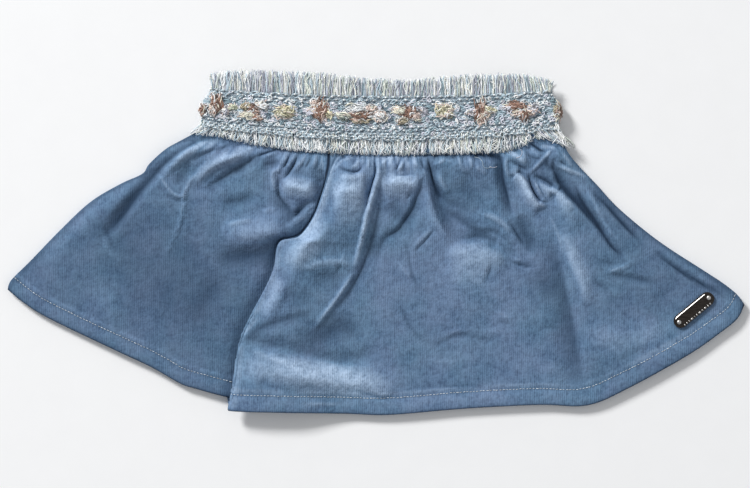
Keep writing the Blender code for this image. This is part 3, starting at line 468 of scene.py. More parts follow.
# Bundles of threads that make the braid's flowers, angles in degrees
TUFTS = [
    Tuft(-0.0954, 0.0828, 0.0036, 0.0056, 90, 12, BROWN, 46),
    Tuft(-0.0984, 0.0804, 0.0022, 0.0030, 30, 60, PEACH, 12),
    Tuft(-0.0900, 0.0792, 0.0030, 0.0015, -10, 25, LILAC, 10),
    Tuft(-0.0860, 0.0808, 0.0030, 0.0024, -20, 40, LIME, 10),
    Tuft(-0.0780, 0.0816, 0.0030, 0.0022, 35, 40, SAND, 16),
    Tuft(-0.0732, 0.0800, 0.0036, 0.0030, -20, 50, BROWN, 26),
    Tuft(-0.0768, 0.0768, 0.0048, 0.0018, -25, 25, CREAM, 22),
    Tuft(-0.0714, 0.0752, 0.0030, 0.0015, -15, 30, RUST, 12),
    Tuft(-0.0690, 0.0826, 0.0036, 0.0022, 10, 60, WHITE, 20),
    Tuft(-0.0546, 0.0788, 0.0056, 0.0040, 0, 180, YELLOW, 34),
    Tuft(-0.0566, 0.0768, 0.0040, 0.0016, -15, 30, CREAM, 8),
    Tuft(-0.0336, 0.0796, 0.0044, 0.0066, 80, 50, BROWN, 54),
    Tuft(-0.0392, 0.0792, 0.0038, 0.0024, 8, 25, LILAC, 16),
    Tuft(-0.0284, 0.0774, 0.0026, 0.0030, -35, 40, YELLOW, 12),
    Tuft(-0.0362, 0.0838, 0.0026, 0.0020, 60, 70, PEACH, 10),
    Tuft(-0.0200, 0.0756, 0.0042, 0.0019, -30, 10, LEAF, 16),
    Tuft(-0.0196, 0.0766, 0.0046, 0.0008, -28, 6, CREAM, 6),
    Tuft(-0.0114, 0.0806, 0.0060, 0.0020, 12, 18, WHITE, 20),
    Tuft(-0.0084, 0.0764, 0.0062, 0.0031, 3, 25, BROWN, 44),
    Tuft(-0.0030, 0.0808, 0.0030, 0.0018, -30, 50, PEACH, 10),
    Tuft(0.0022, 0.0766, 0.0046, 0.0036, -25, 70, WHITE, 28),
    # This flat sand tuft under the flower stands in for the brown-grey shadow there: painted shadow
    Tuft(-0.0084, 0.0734, 0.0058, 0.0012, 0, 15, SAND, 10),
    Tuft(0.0144, 0.0794, 0.0046, 0.0026, -15, 35, CREAM, 22),
    Tuft(0.0198, 0.0778, 0.0044, 0.0038, 15, 80, BROWN, 34),
    Tuft(0.0156, 0.0732, 0.0036, 0.0016, 5, 30, SAND, 12),
    Tuft(0.0236, 0.0756, 0.0040, 0.0019, -20, 40, PEACH, 12),
    Tuft(0.0280, 0.0790, 0.0034, 0.0020, 5, 40, LILAC, 10),
    Tuft(0.0408, 0.0790, 0.0052, 0.0040, 0, 180, YELLOW, 28),
    Tuft(0.0428, 0.0804, 0.0034, 0.0016, 20, 40, CREAM, 8),
    Tuft(0.0624, 0.0786, 0.0038, 0.0070, 85, 45, BROWN, 50),
    Tuft(0.0676, 0.0798, 0.0038, 0.0028, -20, 45, YELLOW, 16),
    Tuft(0.0650, 0.0774, 0.0040, 0.0017, 10, 30, PEACH, 10),
    Tuft(0.0568, 0.0786, 0.0030, 0.0024, 0, 40, LILAC, 12),
    Tuft(0.0834, 0.0822, 0.0058, 0.0023, -10, 30, BROWN, 28),
    Tuft(0.0888, 0.0772, 0.0030, 0.0042, 70, 50, BROWN, 26),
    Tuft(0.0786, 0.0808, 0.0040, 0.0013, 10, 20, LILAC, 12),
    Tuft(0.0850, 0.0776, 0.0034, 0.0017, 15, 30, PEACH, 10),
    Tuft(0.0942, 0.0804, 0.0042, 0.0029, 0, 60, LILAC, 16),
    Tuft(0.0928, 0.0778, 0.0030, 0.0014, -10, 30, PEACH, 8),
    Tuft(0.1094, 0.0790, 0.0022, 0.0052, 85, 40, BROWN, 26),
    Tuft(0.1080, 0.0798, 0.0018, 0.0036, 80, 50, SAND, 10),
    Tuft(0.1088, 0.0776, 0.0016, 0.0022, 30, 60, PEACH, 8),
    Tuft(-0.1034, 0.0800, 0.0018, 0.0040, 80, 40, BROWN, 14),
]


def length_setting(name, description, default, low, high):
    """A length that a user can change."""
    return bpy.props.FloatProperty(name=name, description=description, default=default, min=low,
                                   max=high, unit="LENGTH")


def colour_setting(name, description, default):
    """A colour that a user can change."""
    return bpy.props.FloatVectorProperty(name=name, description=description, default=default,
                                         subtype="COLOR", size=3, min=0.0, max=1.0)


class SkirtSizes(bpy.types.PropertyGroup):
    """Sizes that a user would change."""

    cloth_wall: length_setting(
        "Cloth wall", "Thickness of the needlecord that shows", 0.0012, 0.0005, 0.0015)
    wale_pitch: length_setting(
        "Wale pitch", "Distance from one cord of the pile to the next", 0.00125, 0.0006, 0.004)
    thread_pitch: length_setting(
        "Thread pitch", "Distance between the fringe's threads in one layer", 0.00105, 0.0006,
        0.003)
    chain_pitch: length_setting(
        "Chain pitch", "Distance between the loops of the braid's chain rows", 0.0046, 0.003,
        0.01)


class SkirtColours(bpy.types.PropertyGroup):
    """Colours of the skirt's materials."""

    cord: colour_setting("Cord", "Tops of the cloth's pile", (0.131, 0.226, 0.352))
    cord_deep: colour_setting("Cord, deep", "Grooves between the cords", (0.052, 0.095, 0.170))
    # Painted shade for the cloth's hollows and creases
    cord_shade: colour_setting("Cord, shade", "Hollows of the cloth", (0.028, 0.056, 0.105))
    # Rubbed wear and painted highlight on the crests, and the cloth's paler mottle
    cord_worn_and_highlight: colour_setting(
        "Cord, worn", "Crests where the pile is rubbed pale", (0.435, 0.570, 0.755))
    braid: colour_setting("Braid", "Ground of the woven braid", (0.330, 0.430, 0.500))
    stitch: colour_setting("Stitching", "Sewing thread of the hem", (0.740, 0.820, 0.880))
    metal: colour_setting("Plate", "Polished dark metal", (0.046, 0.039, 0.034))


def smooth_step(low, high, value):
    """Ease from 0 at low to 1 at high."""
    part = np.clip((value - low) / (high - low), 0.0, 1.0)
    return part * part * (3.0 - 2.0 * part)


def spline_point(before, here, after, later, part):
    """Return one point of the Catmull-Rom curve between here and after."""
    place = []
    for a, b, c, d in zip(before, here, after, later):
        curve = 2 * a - 5 * b + 4 * c - d
        bend = 3 * b - a - 3 * c + d
        place.append(0.5 * (2 * b + (c - a) * part + curve * part ** 2 + bend * part ** 3))
    return place


class Route:
    """A smooth plan curve through points, read by the fraction of its length."""

    def __init__(self, points, steps=8):
        ends = [points[0]] + list(points) + [points[-1]]
        curve = []
        for before, here, after, later in zip(ends, ends[1:], ends[2:], ends[3:]):
            for step in range(steps):
                curve.append(spline_point(before, here, after, later, step / steps))
        curve.append(points[-1])
        self.points = np.array(curve)
        lengths = np.hypot(*np.diff(self.points, axis=0).T)
        self.travelled = np.concatenate(([0.0], np.cumsum(lengths)))

    def at(self, fraction):
        """Return the x and y arrays at each fraction of the length."""
        distance = np.asarray(fraction) * self.travelled[-1]
        x = np.interp(distance, self.travelled, self.points[:, 0])
        y = np.interp(distance, self.travelled, self.points[:, 1])
        return x, y

    def nearest(self, x, y):
        """Return at each place the distance to the route, toward which side, how far along."""
        best = np.full(x.shape, 1e9)
        side = np.zeros(x.shape)
        along = np.zeros(x.shape)
        pairs = zip(self.points, self.points[1:], self.travelled, self.travelled[1:])
        for (ax, ay), (bx, by), start, end in pairs:
            length = end - start
            if length < 1e-9:
                continue
            step_x, step_y = (bx - ax) / length, (by - ay) / length
            run = np.clip((x - ax) * step_x + (y - ay) * step_y, 0.0, length)
            off_x = x - ax - run * step_x
            off_y = y - ay - run * step_y
            away = np.hypot(off_x, off_y)
            nearer = away < best
            best = np.where(nearer, away, best)
            side = np.where(nearer, off_y * NEAR_SIDE.y + off_x * NEAR_SIDE.x, side)
            along = np.where(nearer, (start + run) / self.travelled[-1], along)
        return best, side, along


def sag(x):
    """Return how far up the waist's hanging curve x lies, 0 in the middle, 1 at a side."""
    return np.minimum(((x - WAIST_MIDDLE_X) / WAIST_HALF) ** 2, 1.15)


def waist_top(x):
    """Height of the braid's upper edge in plan."""
    return WAIST_TOP_Y + WAIST_TOP_SAG * sag(x)


def waist_low(x):
    """Height of the braid's lower edge in plan."""
    return WAIST_LOW_Y + WAIST_LOW_SAG * sag(x)


def below_waist(x, y):
    """Distance of a place below the braid's lower edge."""
    return waist_low(x) - y


def braid_line(x, share):
    """Plan y at a share of the way from the braid's upper edge to its lower one."""
    return waist_top(x) + (waist_low(x) - waist_top(x)) * share


def back_level(x, y, delay=0.0):
    """Height of the back panel's underside: over the braid, then down to the surface."""
    return BACK_LIFT * (1.0 - smooth_step(FRINGE_ZONE, LANDING, below_waist(x, y) - delay))


def crease_shape(stroke, x, y):
    """Shape of one crease, 1 along its line and 0 beyond its flanks."""
    line = np.array(stroke.line).reshape(-1, 2) / 1000
    lit = stroke.lit / 1000
    far = stroke.far / 1000
    reach = 1.3 * max(lit, far)
    shape = np.zeros(x.shape)
    low, high = line.min(axis=0) - reach, line.max(axis=0) + reach
    near = (x > low[0]) & (x < high[0]) & (y > low[1]) & (y < high[1])
    if near.any():
        away, toward, along = Route(line, steps=4).nearest(x[near], y[near])
        share = away / np.where(toward > 0, lit, far)
        profile = np.clip(1.0 + CREST - np.sqrt(share ** 2 + CREST ** 2), 0.0, 1.0) ** 1.25
        shape[near] = profile * (1.0 - np.abs(2.0 * along - 1.0) ** 3)
    return shape


def creases(strokes, x, y):
    """Height and tone that a table of strokes adds up to."""
    relief = np.zeros(x.shape)
    tone = np.zeros(x.shape)
    for stroke in strokes:
        shape = crease_shape(stroke, x, y)
        relief += RELIEF * stroke.height / 1000 * shape
        tone += stroke.tone * shape
    return relief, tone


def gather_waves(top_x, x, y):
    """Small uneven gathers that fade a few centimetres below the braid."""
    phase = top_x / GATHER_PITCH + 0.22 * np.sin(top_x / 0.017) + 0.15 * np.sin(top_x / 0.0063)
    fade = np.exp(-(np.maximum(below_waist(x, y), 0.0) / GATHER_LENGTH) ** 2)
    return GATHER_HEIGHT * np.sin(2.0 * math.pi * phase) * fade


def pinches(top_x, x, y):
    """Narrow pinches between the gathers, close under the fringe."""
    depth = np.maximum(below_waist(x, y), 0.0)
    phase = top_x / PINCH_PITCH + 0.3 * np.sin(top_x / 0.011)
    wave = np.abs(np.sin(math.pi * phase)) ** 0.6 - 0.75
    return PINCH_HEIGHT * wave * np.exp(-(depth / PINCH_LENGTH) ** 2)


def pleats(top_x, x, y):
    """Narrow pleats where the cloth leaves the fringe: above zero on a crest, sharp between two."""
    depth = below_waist(x, y) - FRINGE_ZONE
    phase = top_x / PLEAT_PITCH + 0.6 * np.sin(top_x / 0.0093)
    phase = phase + 0.3 * np.sin(top_x / 0.0043 + 1.0)
    wave = 1.7 * np.abs(np.sin(math.pi * phase)) ** 0.6 - 1.0
    strength = 0.6 + 0.4 * np.sin(top_x / 0.0190 + 0.8)
    length = PLEAT_LENGTH + 0.0030 * np.sin(top_x / 0.0077)
    return wave * strength * np.exp(-(depth / length) ** 2) * smooth_step(-0.001, 0.001, depth)


def handling(x, y):
    """Faint uneven waves left in the cloth by handling."""
    slow = np.sin(x / 0.0210 + 1.3 * np.sin(y / 0.033))
    slow = slow * np.sin(y / 0.0260 + 0.9 * np.sin(x / 0.041))
    quick = np.sin(x / 0.0083 + 1.1 * np.sin(y / 0.019)) * np.sin(y / 0.0121 + 1.7)
    return SLOW_WAVE * slow + QUICK_WAVE * quick


def soft_floor(height):
    """Keep a height above zero, easing into it."""
    return 0.5 * (height + np.sqrt(height ** 2 + SOFTNESS ** 2)) - 0.25 * SOFTNESS


def loft(relief, x, y, top_x, down):
    """Height of the front above its lowest level, before the edges are brought down."""
    puff = PUFF * (1.0 - 0.6 * smooth_step(0.35, 0.95, down))
    raised = puff + relief + gather_waves(top_x, x, y)
    raised = raised + pinches(top_x, x, y) + handling(x, y)
    open_air = smooth_step(FRINGE_ZONE - 0.001, PUFF_ZONE, below_waist(x, y))
    hem_calm = 1.0 - 0.5 * smooth_step(HEM_STARTS, 1.0, down)
    settled = np.maximum(soft_floor(raised), 0.0) * open_air * hem_calm
    return settled + PLEAT_HEIGHT * np.maximum(pleats(top_x, x, y), 0.0)


def hem_form(down):
    """Height and painted light of the sewn hem: a groove at the stitches with painted shade, a roll
    below them and a ledge above them, both with painted highlight.
    """
    groove = np.exp(-((down - STITCH_LINE) / 0.0045) ** 2)
    roll = smooth_step(0.948, 0.965, down) * (1.0 - smooth_step(0.97, 1.0, down))
    ledge = np.exp(-((down - STITCH_LINE + 0.013) / 0.009) ** 2)
    tone = 0.34 * ledge + 0.16 * roll - 0.22 * groove
    return HEM_ROLL * roll - HEM_GROOVE * groove, tone


def front_level(x, y):
    """Middle of the front wall where it lies on the back panel."""
    return back_level(x, y, FRONT_DELAY) + CLOTH + GAP + CLOTH / 2


def hem_extra(down):
    """Half of what the turned hem adds to the wall, reached just above it."""
    return (HEM_CLOTH - CLOTH) / 2 * smooth_step(HEM_STARTS, 0.925, down)


def blend_edges(top, hem, start, end, across, down):
    """Coons patch: the plan place at each fraction across and down between four edges."""
    a = across[None, :]
    d = down[:, None]
    made = []
    for axis in range(2):
        ruled_down = (1 - d) * top[axis][None, :] + d * hem[axis][None, :]
        ruled_across = (1 - a) * start[axis][:, None] + a * end[axis][:, None]
        upper = (1 - a) * start[axis][0] + a * end[axis][0]
        lower = (1 - a) * start[axis][-1] + a * end[axis][-1]
        made.append(ruled_down + ruled_across - (1 - d) * upper - d * lower)
    return made


def turn_of(down):
    """Angle through which the lapped fold has turned over at a fraction down."""
    return np.maximum(math.pi * smooth_step(0.065, 0.22, down), FLAT_TURN)


def run_of(down):
    """Width of the hidden layer between the fold's two turns."""
    return np.interp(down, (0.0, 0.13, 0.23, 0.50, 1.0),
                     (0.0040, 0.0020, 0.0030, 0.0110, FOLD_OVERLAP))


def lap_section(turn, run, extra):
    """Offsets along x and z through the lapped fold: a turn, a straight run, a turn back."""
    steps = [k / TURN_STEPS for k in range(1, TURN_STEPS + 1)]
    radius = max(FOLD_RADIUS, TURN_LENGTH / turn) + extra
    offsets = [(radius * math.sin(turn * k), radius * (1 - math.cos(turn * k))) for k in steps]
    x, z = offsets[-1]
    for k in range(1, RUN_STEPS + 1):
        share = run * k / RUN_STEPS
        offsets.append((x + share * math.cos(turn), z + share * math.sin(turn)))
    x, z = offsets[-1]
    for k in steps:
        left = turn * (1 - k)
        offsets.append((x + radius * (math.sin(turn) - math.sin(left)),
                        z + radius * (math.cos(left) - math.cos(turn))))
    return offsets


def between(start, end, hem, across, down):
    """Plan x and y of a panel between its side edges, and the x where each column starts.

    The side edges' first points move to the line where the panel passes under the braid.
    """
    top_x = start[0][0] + (end[0][0] - start[0][0]) * across
    top = (top_x, waist_low(top_x))
    start[1][0] = top[1][0]
    end[1][0] = top[1][-1]
    x, y = blend_edges(top, hem, start, end, across, down)
    return x, y, np.broadcast_to(top_x, x.shape)


def fold_at(down):
    """The lapped fold at each fraction down: its place, its section and where that leads."""
    x, y = Route(FOLD_EDGE).at(down)
    x = x + FOLD_RADIUS + CLOTH / 2
    sizes = zip(turn_of(down), run_of(down), hem_extra(down))
    sections = [lap_section(turn, run, extra) for turn, run, extra in sizes]
    advance = np.array([section[-1][0] for section in sections])
    rise = np.array([section[-1][1] for section in sections])
    return Fold(x, y, sections, advance, rise)


def left_part(fold, down):
    """Points of the front's left part, down to where the fold turns under, with its wear and
    painted light.
    """
    across = np.linspace(0.0, 1.0, LEFT_COLUMNS + 1)
    start = Route(LEFT_EDGE).at(down)
    end = (fold.x - fold.advance, fold.y.copy())
    low = Route(LEFT_HEM + [Point(end[0][-1], end[1][-1])]).at(across)
    x, y, top_x = between(start, end, low, across, down)
    beside_fold = smooth_step(0.0, 0.011, fold.x[:, None] - x)
    beside_seam = smooth_step(0.0, 0.10, across)[None, :]
    relief, tone = creases(LEFT_STROKES, x, y)
    tone = tone + PLEAT_PAINTED_LIGHT * pleats(top_x, x, y)
    height = loft(relief, x, y, top_x, down[:, None]) * beside_fold * beside_seam
    hem, hem_painted_light = hem_form(down)
    level = front_level(x, y) + hem_extra(down)[:, None]
    lower = smooth_step(0.20, 0.55, down)[:, None]
    # Wear and painted light: the creases' and pleats' tone, the hem's painted light, darker toward
    # the bottom, painted shade at the side edge and beside the lapped fold
    wear_and_painted_light = tone + hem_painted_light[:, None] - 0.10 - 0.26 * lower - rim_shade(x - start[0][:, None], down)
    wear_and_painted_light = wear_and_painted_light - shade_beside(fold.x - FOLD_RADIUS - CLOTH / 2 - x.T, down).T
    return np.stack([x, y, level + height + hem[:, None]], axis=-1), wear_and_painted_light


def right_part(fold, down):
    """Points of the front's right part, which starts on top of the fold, with its wear and painted
    light.
    """
    across = np.linspace(0.0, 1.0, RIGHT_COLUMNS + 1)
    start = (fold.x.copy(), fold.y.copy())
    end = Route(RIGHT_EDGE).at(down)
    x, y, top_x = between(start, end, Route(RIGHT_HEM).at(across), across, down)
    inside = x - fold.x[:, None]
    hidden = np.maximum(-fold.advance, 0.0)[:, None]
    carried = fold.rise[:, None] * (1.0 - smooth_step(hidden + 0.001, hidden + 0.048, inside))
    beside_fold = smooth_step(0.0, 0.012, inside)
    beside_seam = smooth_step(0.0, 0.06, 1.0 - across)[None, :]
    beside_plate = smooth_step(0.016, 0.028, np.hypot(x - PLATE_X, y - PLATE_Y))
    relief, tone = creases(RIGHT_STROKES, x, y)
    tone = tone + PLEAT_PAINTED_LIGHT * pleats(top_x, x, y)
    height = loft(relief, x, y, top_x, down[:, None]) * beside_fold * beside_seam * beside_plate
    hem, hem_painted_light = hem_form(down)
    level = front_level(x, y) + hem_extra(down)[:, None] + carried + hem[:, None]
    # Wear and painted light as on the left, with a painted highlight along the fold's edge, darker
    # toward the right side, and painted shade at the side edge
    wear_and_painted_light = tone + hem_painted_light[:, None] - 0.12 + 0.30 * np.exp(-(inside / 0.0018) ** 2)
    wear_and_painted_light = wear_and_painted_light - 0.14 * smooth_step(0.115, 0.150, x) - rim_shade(end[0][:, None] - x, down)
    return np.stack([x, y, level + height], axis=-1), wear_and_painted_light


def front_grid(down):
    """Points on the middle of the front wall by row and column, with the wear and painted light of
    each.
    """
    fold = fold_at(down)
    left, left_wear_and_painted_light = left_part(fold, down)
    right, right_wear_and_painted_light = right_part(fold, down)
    rows = []
    wear_and_painted_lights = []
    for row in range(len(down)):
        x0, y0, z0 = left[row][-1]
        z1 = right[row][0][2] - fold.rise[row]
        section = fold.sections[row][:-1]
        lap = []
        for place, (dx, dz) in enumerate(section):
            share = (place + 1) / (len(section) + 1)
            lap.append((x0 + dx, y0, z0 + (z1 - z0) * share + dz))
        rows.append(np.concatenate([left[row], lap, right[row]]))
        wear_and_painted_lights.append(np.concatenate([left_wear_and_painted_light[row], np.zeros(len(lap)), right_wear_and_painted_light[row]]))
    rows, wear_and_painted_lights = np.array(rows), np.array(wear_and_painted_lights)

    # The lap's own wear and painted light, seen only near the waist where it has not turned over
    # yet
    lap = slice(LEFT_COLUMNS + 1, LEFT_COLUMNS + len(fold.sections[0]))
    x, y = rows[:, lap, 0], rows[:, lap, 1]
    tone = creases(LEFT_STROKES, x, y)[1] + PLEAT_PAINTED_LIGHT * pleats(x, x, y) - 0.10
    away = np.abs(fold.x[:, None] - FOLD_RADIUS - CLOTH / 2 - x)
    tone = tone - shade_beside(away.T, down).T
    wear_and_painted_lights[:, lap] = tone * (1.0 - smooth_step(0.13, 0.20, down))[:, None]
    return rows, wear_and_painted_lights


def shade_beside(away, down):
    """Painted shadow on the lower layer just beside the lapped fold, darkest where it is narrow."""
    narrow = 1.6 * np.exp(-(away / 0.0009) ** 2) * (1.0 - smooth_step(0.36, 0.56, down))
    wide = 0.42 * np.exp(-(away / 0.0040) ** 2) * smooth_step(0.24, 0.42, down)
    return np.maximum(narrow, wide)


def rim_shade(inward, down):
    """Shade where the cloth rolls away at a side edge or at the hem's edge."""
    low = 0.55 * np.exp(-((1.0 - down[:, None]) / 0.007) ** 2)
    return 0.5 * np.exp(-(inward / 0.0014) ** 2) + low


def waist_grid(first_row, height):
    """Rows of a panel's upper end, from the braid's upper edge to just above its lower one."""
    low_left = first_row[0][0]
    low_right = first_row[-1][0]
    left = BRAID_LEFT[0] + STACK_TOP / 2
    right = BRAID_RIGHT[0] - STACK_TOP / 2
    share = (first_row[:, 0] - low_left) / (low_right - low_left)
    top_x = left + (right - left) * share
    top = np.stack([top_x, waist_top(top_x) - PANEL_TOP_INSET, np.full(top_x.shape, height)], -1)
    return [top + (first_row - top) * k / WAIST_ROWS for k in range(WAIST_ROWS)]


def back_grid(down):
    """Points on the middle of the back wall by row and column."""
    across = np.linspace(0.0, 1.0, BACK_COLUMNS + 1)
    start = Route(LEFT_EDGE).at(down)
    end = Route(RIGHT_EDGE).at(down)
    hem = Route(LEFT_HEM + RIGHT_HEM[1:]).at(across)
    x, y, _ = between(start, end, hem, across, down)
    y[:, 1:-1] += BACK_HEM_INSET * smooth_step(0.9, 1.0, down)[:, None]
    return np.stack([x, y, back_level(x, y) + CLOTH / 2], axis=-1)


def mesh_object(bm, name, material, smooth=True):
    """Turn a bmesh into an object of the scene."""
    mesh = bpy.data.meshes.new(name)
    bm.to_mesh(mesh)
    bm.free()
    mesh.materials.append(material)
    made = bpy.data.objects.new(name, mesh)
    bpy.context.scene.collection.objects.link(made)
    if smooth:
        mesh.shade_smooth()
    return made


def grid_object(name, points, material):
    """An open sheet through a grid of points."""
    rows, columns = points.shape[0] - 1, points.shape[1] - 1
    bm = bmesh.new()
    bmesh.ops.create_grid(bm, x_segments=columns, y_segments=rows, size=0.5)
    made = mesh_object(bm, name, material)
    count = len(made.data.vertices)
    unit = np.empty(count * 3)
    made.data.vertices.foreach_get("co", unit)
    unit = unit.reshape(count, 3)
    column = np.rint((unit[:, 0] + 0.5) * columns).astype(int)
    row = np.rint((0.5 - unit[:, 1]) * rows).astype(int)
    made.data.vertices.foreach_set("co", points[row, column].ravel())
    made.data.update()
    return made, row, column


def point_values(made, name, values):
    """Store one number for each point of a mesh."""
    layer = made.data.attributes.new(name, "FLOAT", "POINT")
    layer.data.foreach_set("value", np.asarray(values, dtype=np.float32).ravel())


def wall(made, thickness):
    """Give a sheet its thickness, half on either side."""
    solid = made.modifiers.new("wall", "SOLIDIFY")
    solid.thickness = thickness
    solid.offset = 0.0


def tube_template(sides, segments):
    """Closed unit tube: the ring number, cosine and sine of each vertex, and the faces."""
    bm = bmesh.new()
    bmesh.ops.create_cone(bm, cap_ends=True, segments=sides, radius1=1, radius2=1, depth=1)
    for step in range(1, segments):
        everything = bm.verts[:] + bm.edges[:] + bm.faces[:]
        bmesh.ops.bisect_plane(bm, geom=everything, plane_co=(0, 0, step / segments - 0.5),
                               plane_no=(0, 0, 1))
    bmesh.ops.recalc_face_normals(bm, faces=bm.faces[:])
    bm.verts.index_update()
    places = np.array([vert.co[:] for vert in bm.verts])
    # A thread's frame is left-handed, so the faces are turned over to look outward
    faces = [[vert.index for vert in face.verts][::-1] for face in bm.faces]
    bm.free()
    ring = np.rint((places[:, 2] + 0.5) * segments).astype(int)
    return ring, places[:, 0], places[:, 1], faces


def strands(name, paths, radii, colours, material, sides=4, flat=1.0):
    """Many tapering threads in one mesh, each along its own path, each with its colour.

    paths is an array of threads by points by xyz, radii of threads by points.
    """
    count, points = paths.shape[:2]
    ring, cosine, sine, faces = tube_template(sides, points - 1)
    tangent = np.gradient(paths, axis=1)
    tangent /= np.linalg.norm(tangent, axis=-1, keepdims=True) + 1e-12
    side = np.cross(tangent, (0.0, 0.0, 1.0))
    length = np.linalg.norm(side, axis=-1, keepdims=True)
    side = np.where(length > 0.05, side / (length + 1e-12), (1.0, 0.0, 0.0))
    upward = np.cross(side, tangent)
    place = paths[:, ring] + radii[:, ring, None] * (
        cosine[None, :, None] * side[:, ring] + flat * sine[None, :, None] * upward[:, ring])
    each = len(ring)
    every = [[index + copy * each for index in face] for copy in range(count) for face in faces]
    mesh = bpy.data.meshes.new(name)
    mesh.from_pydata(place.reshape(-1, 3).tolist(), [], every)
    mesh.materials.append(material)
    tint = np.concatenate([np.asarray(colours), np.ones((count, 1))], axis=1)
    layer = mesh.color_attributes.new("thread", "FLOAT_COLOR", "POINT")
    layer.data.foreach_set("color", np.repeat(tint, each, axis=0).astype(np.float32).ravel())
    mesh.shade_smooth()
    made = bpy.data.objects.new(name, mesh)
    bpy.context.scene.collection.objects.link(made)
    return made


def on_braid(x, y, lift, side=1):
    """Place on the braid: unrolled x and plan y, lift above its inner face; side -1 is the back."""
    share = np.clip((waist_top(x) - y) / (waist_top(x) - waist_low(x)), 0.0, 1.0)
    bulge = smooth_step(0.0, BULGE_SHARE, share)
    middle = STACK_TOP / 2
    inner = BRAID_SEAT - middle
    first = BRAID_LEFT[0] + (BRAID_LEFT[1] - BRAID_LEFT[0]) * bulge + middle
    last = BRAID_RIGHT[0] + (BRAID_RIGHT[1] - BRAID_RIGHT[0]) * bulge - middle
    base = np.clip(x, first, last)
    beyond = x - base
    angle = math.pi / 2 - np.clip(np.abs(beyond) / (inner + BRAID / 2), 0.0, math.pi / 2)
    radius = inner + lift
    out_x = base + np.sign(beyond) * radius * np.cos(angle)
    out_z = middle + side * (GAP / 2 + (radius - GAP / 2) * np.sin(angle))
    return np.stack([out_x, y + 0.0 * out_x, out_z], axis=-1)


def braid_limits():
    """Unrolled x of the braid's two side edges, half way round."""
    curl = math.pi / 2 * (BRAID_SEAT - STACK_TOP / 2 + BRAID / 2)
    return (BRAID_LEFT[1] + STACK_TOP / 2 - curl, BRAID_RIGHT[1] - STACK_TOP / 2 + curl)


def mix_of(palette, shares, count, chance):
    """Pick a colour for each thread, with a little unevenness."""
    picked = np.array(palette)[chance.choice(len(palette), count, p=shares)]
    return np.clip(picked * chance.uniform(0.82, 1.15, (count, 1)), 0.0, 1.0)


# Materials


class Look:
    """A material in the making, with ways to add and join its nodes.

    An input is a number, a colour or a (node, output) pair.
    """

    def __init__(self, name, roughness, metallic=0.0):
        self.material = bpy.data.materials.new(name)
        self.material.use_nodes = True
        self.tree = self.material.node_tree
        self.shader = self.tree.nodes["Principled BSDF"]
        self.shade(Roughness=roughness, Metallic=metallic)

    def shade(self, **values):
        """Set sockets of the shader."""
        for key, value in values.items():
            self.shader.inputs[key.replace("_", " ")].default_value = value

    def add(self, kind, **values):
        """Add a node with its settings and the values of its sockets."""
        node = self.tree.nodes.new(kind)
        for key, value in values.items():
            if hasattr(node, key):
                setattr(node, key, value)
            else:
                node.inputs[key.replace("_", " ")].default_value = value
        return node

    def feed(self, value, node, socket):
        """Give a socket its input."""
        if isinstance(value, tuple) and isinstance(value[0], bpy.types.Node):
            self.tree.links.new(value[0].outputs[value[1]], node.inputs[socket])
        elif isinstance(value, (int, float)):
            node.inputs[socket].default_value = value
        else:
            node.inputs[socket].default_value = (*value, 1.0)

    def number(self, operation, *inputs):
        """Work out a number from inputs."""
        node = self.add("ShaderNodeMath", operation=operation)
        for socket, value in enumerate(inputs):
            self.feed(value, node, socket)
        return node, 0

    def total(self, *terms):
        """Add up inputs, each times its weight."""
        made = None
        for value, weight in terms:
            part = self.number("MULTIPLY", value, weight)
            made = self.number("ADD", made, part) if made else part
        return made

    def blend(self, factor, low, high, mode="MIX"):
        """Mix two colours."""
        node = self.add("ShaderNodeMix", data_type="RGBA", blend_type=mode)
        for socket, value in ((0, factor), (6, low), (7, high)):
            self.feed(value, node, socket)
        return node, 2

    def place(self):
        """Node whose outputs X, Y and Z are the object coordinates."""
        place = self.add("ShaderNodeTexCoord")
        apart = self.add("ShaderNodeSeparateXYZ")
        self.feed((place, "Object"), apart, "Vector")
        return apart

    def noise(self, scale, detail, limits=None):
        """Noise with its own scale along each axis, spread between limits if there are any."""
        place = self.add("ShaderNodeTexCoord")
        mapping = self.add("ShaderNodeMapping", Scale=scale)
        self.feed((place, "Object"), mapping, "Vector")
        noise = self.add("ShaderNodeTexNoise", Scale=1.0, Detail=detail)
        self.feed((mapping, "Vector"), noise, "Vector")
        return self.spread((noise, "Fac"), *limits) if limits else (noise, "Fac")

    def spread(self, value, low, high):
        """Spread what lies between low and high over 0 to 1."""
        node = self.add("ShaderNodeMapRange", From_Min=low, From_Max=high)
        self.feed(value, node, "Value")
        return node, 0

    def finish(self, colour, relief=None, strength=0.0, distance=0.0):
        """Join the colour, and a bump if there is relief, and return the material."""
        self.feed(colour, self.shader, "Base Color")
        if relief:
            bump = self.add("ShaderNodeBump", Strength=strength, Distance=distance)
            self.feed(relief, bump, "Height")
            self.feed((bump, "Normal"), self.shader, "Normal")
        return self.material


def darker(colour, share):
    """A share of a colour; above 1 it is brighter."""
    return tuple(share * value for value in colour)


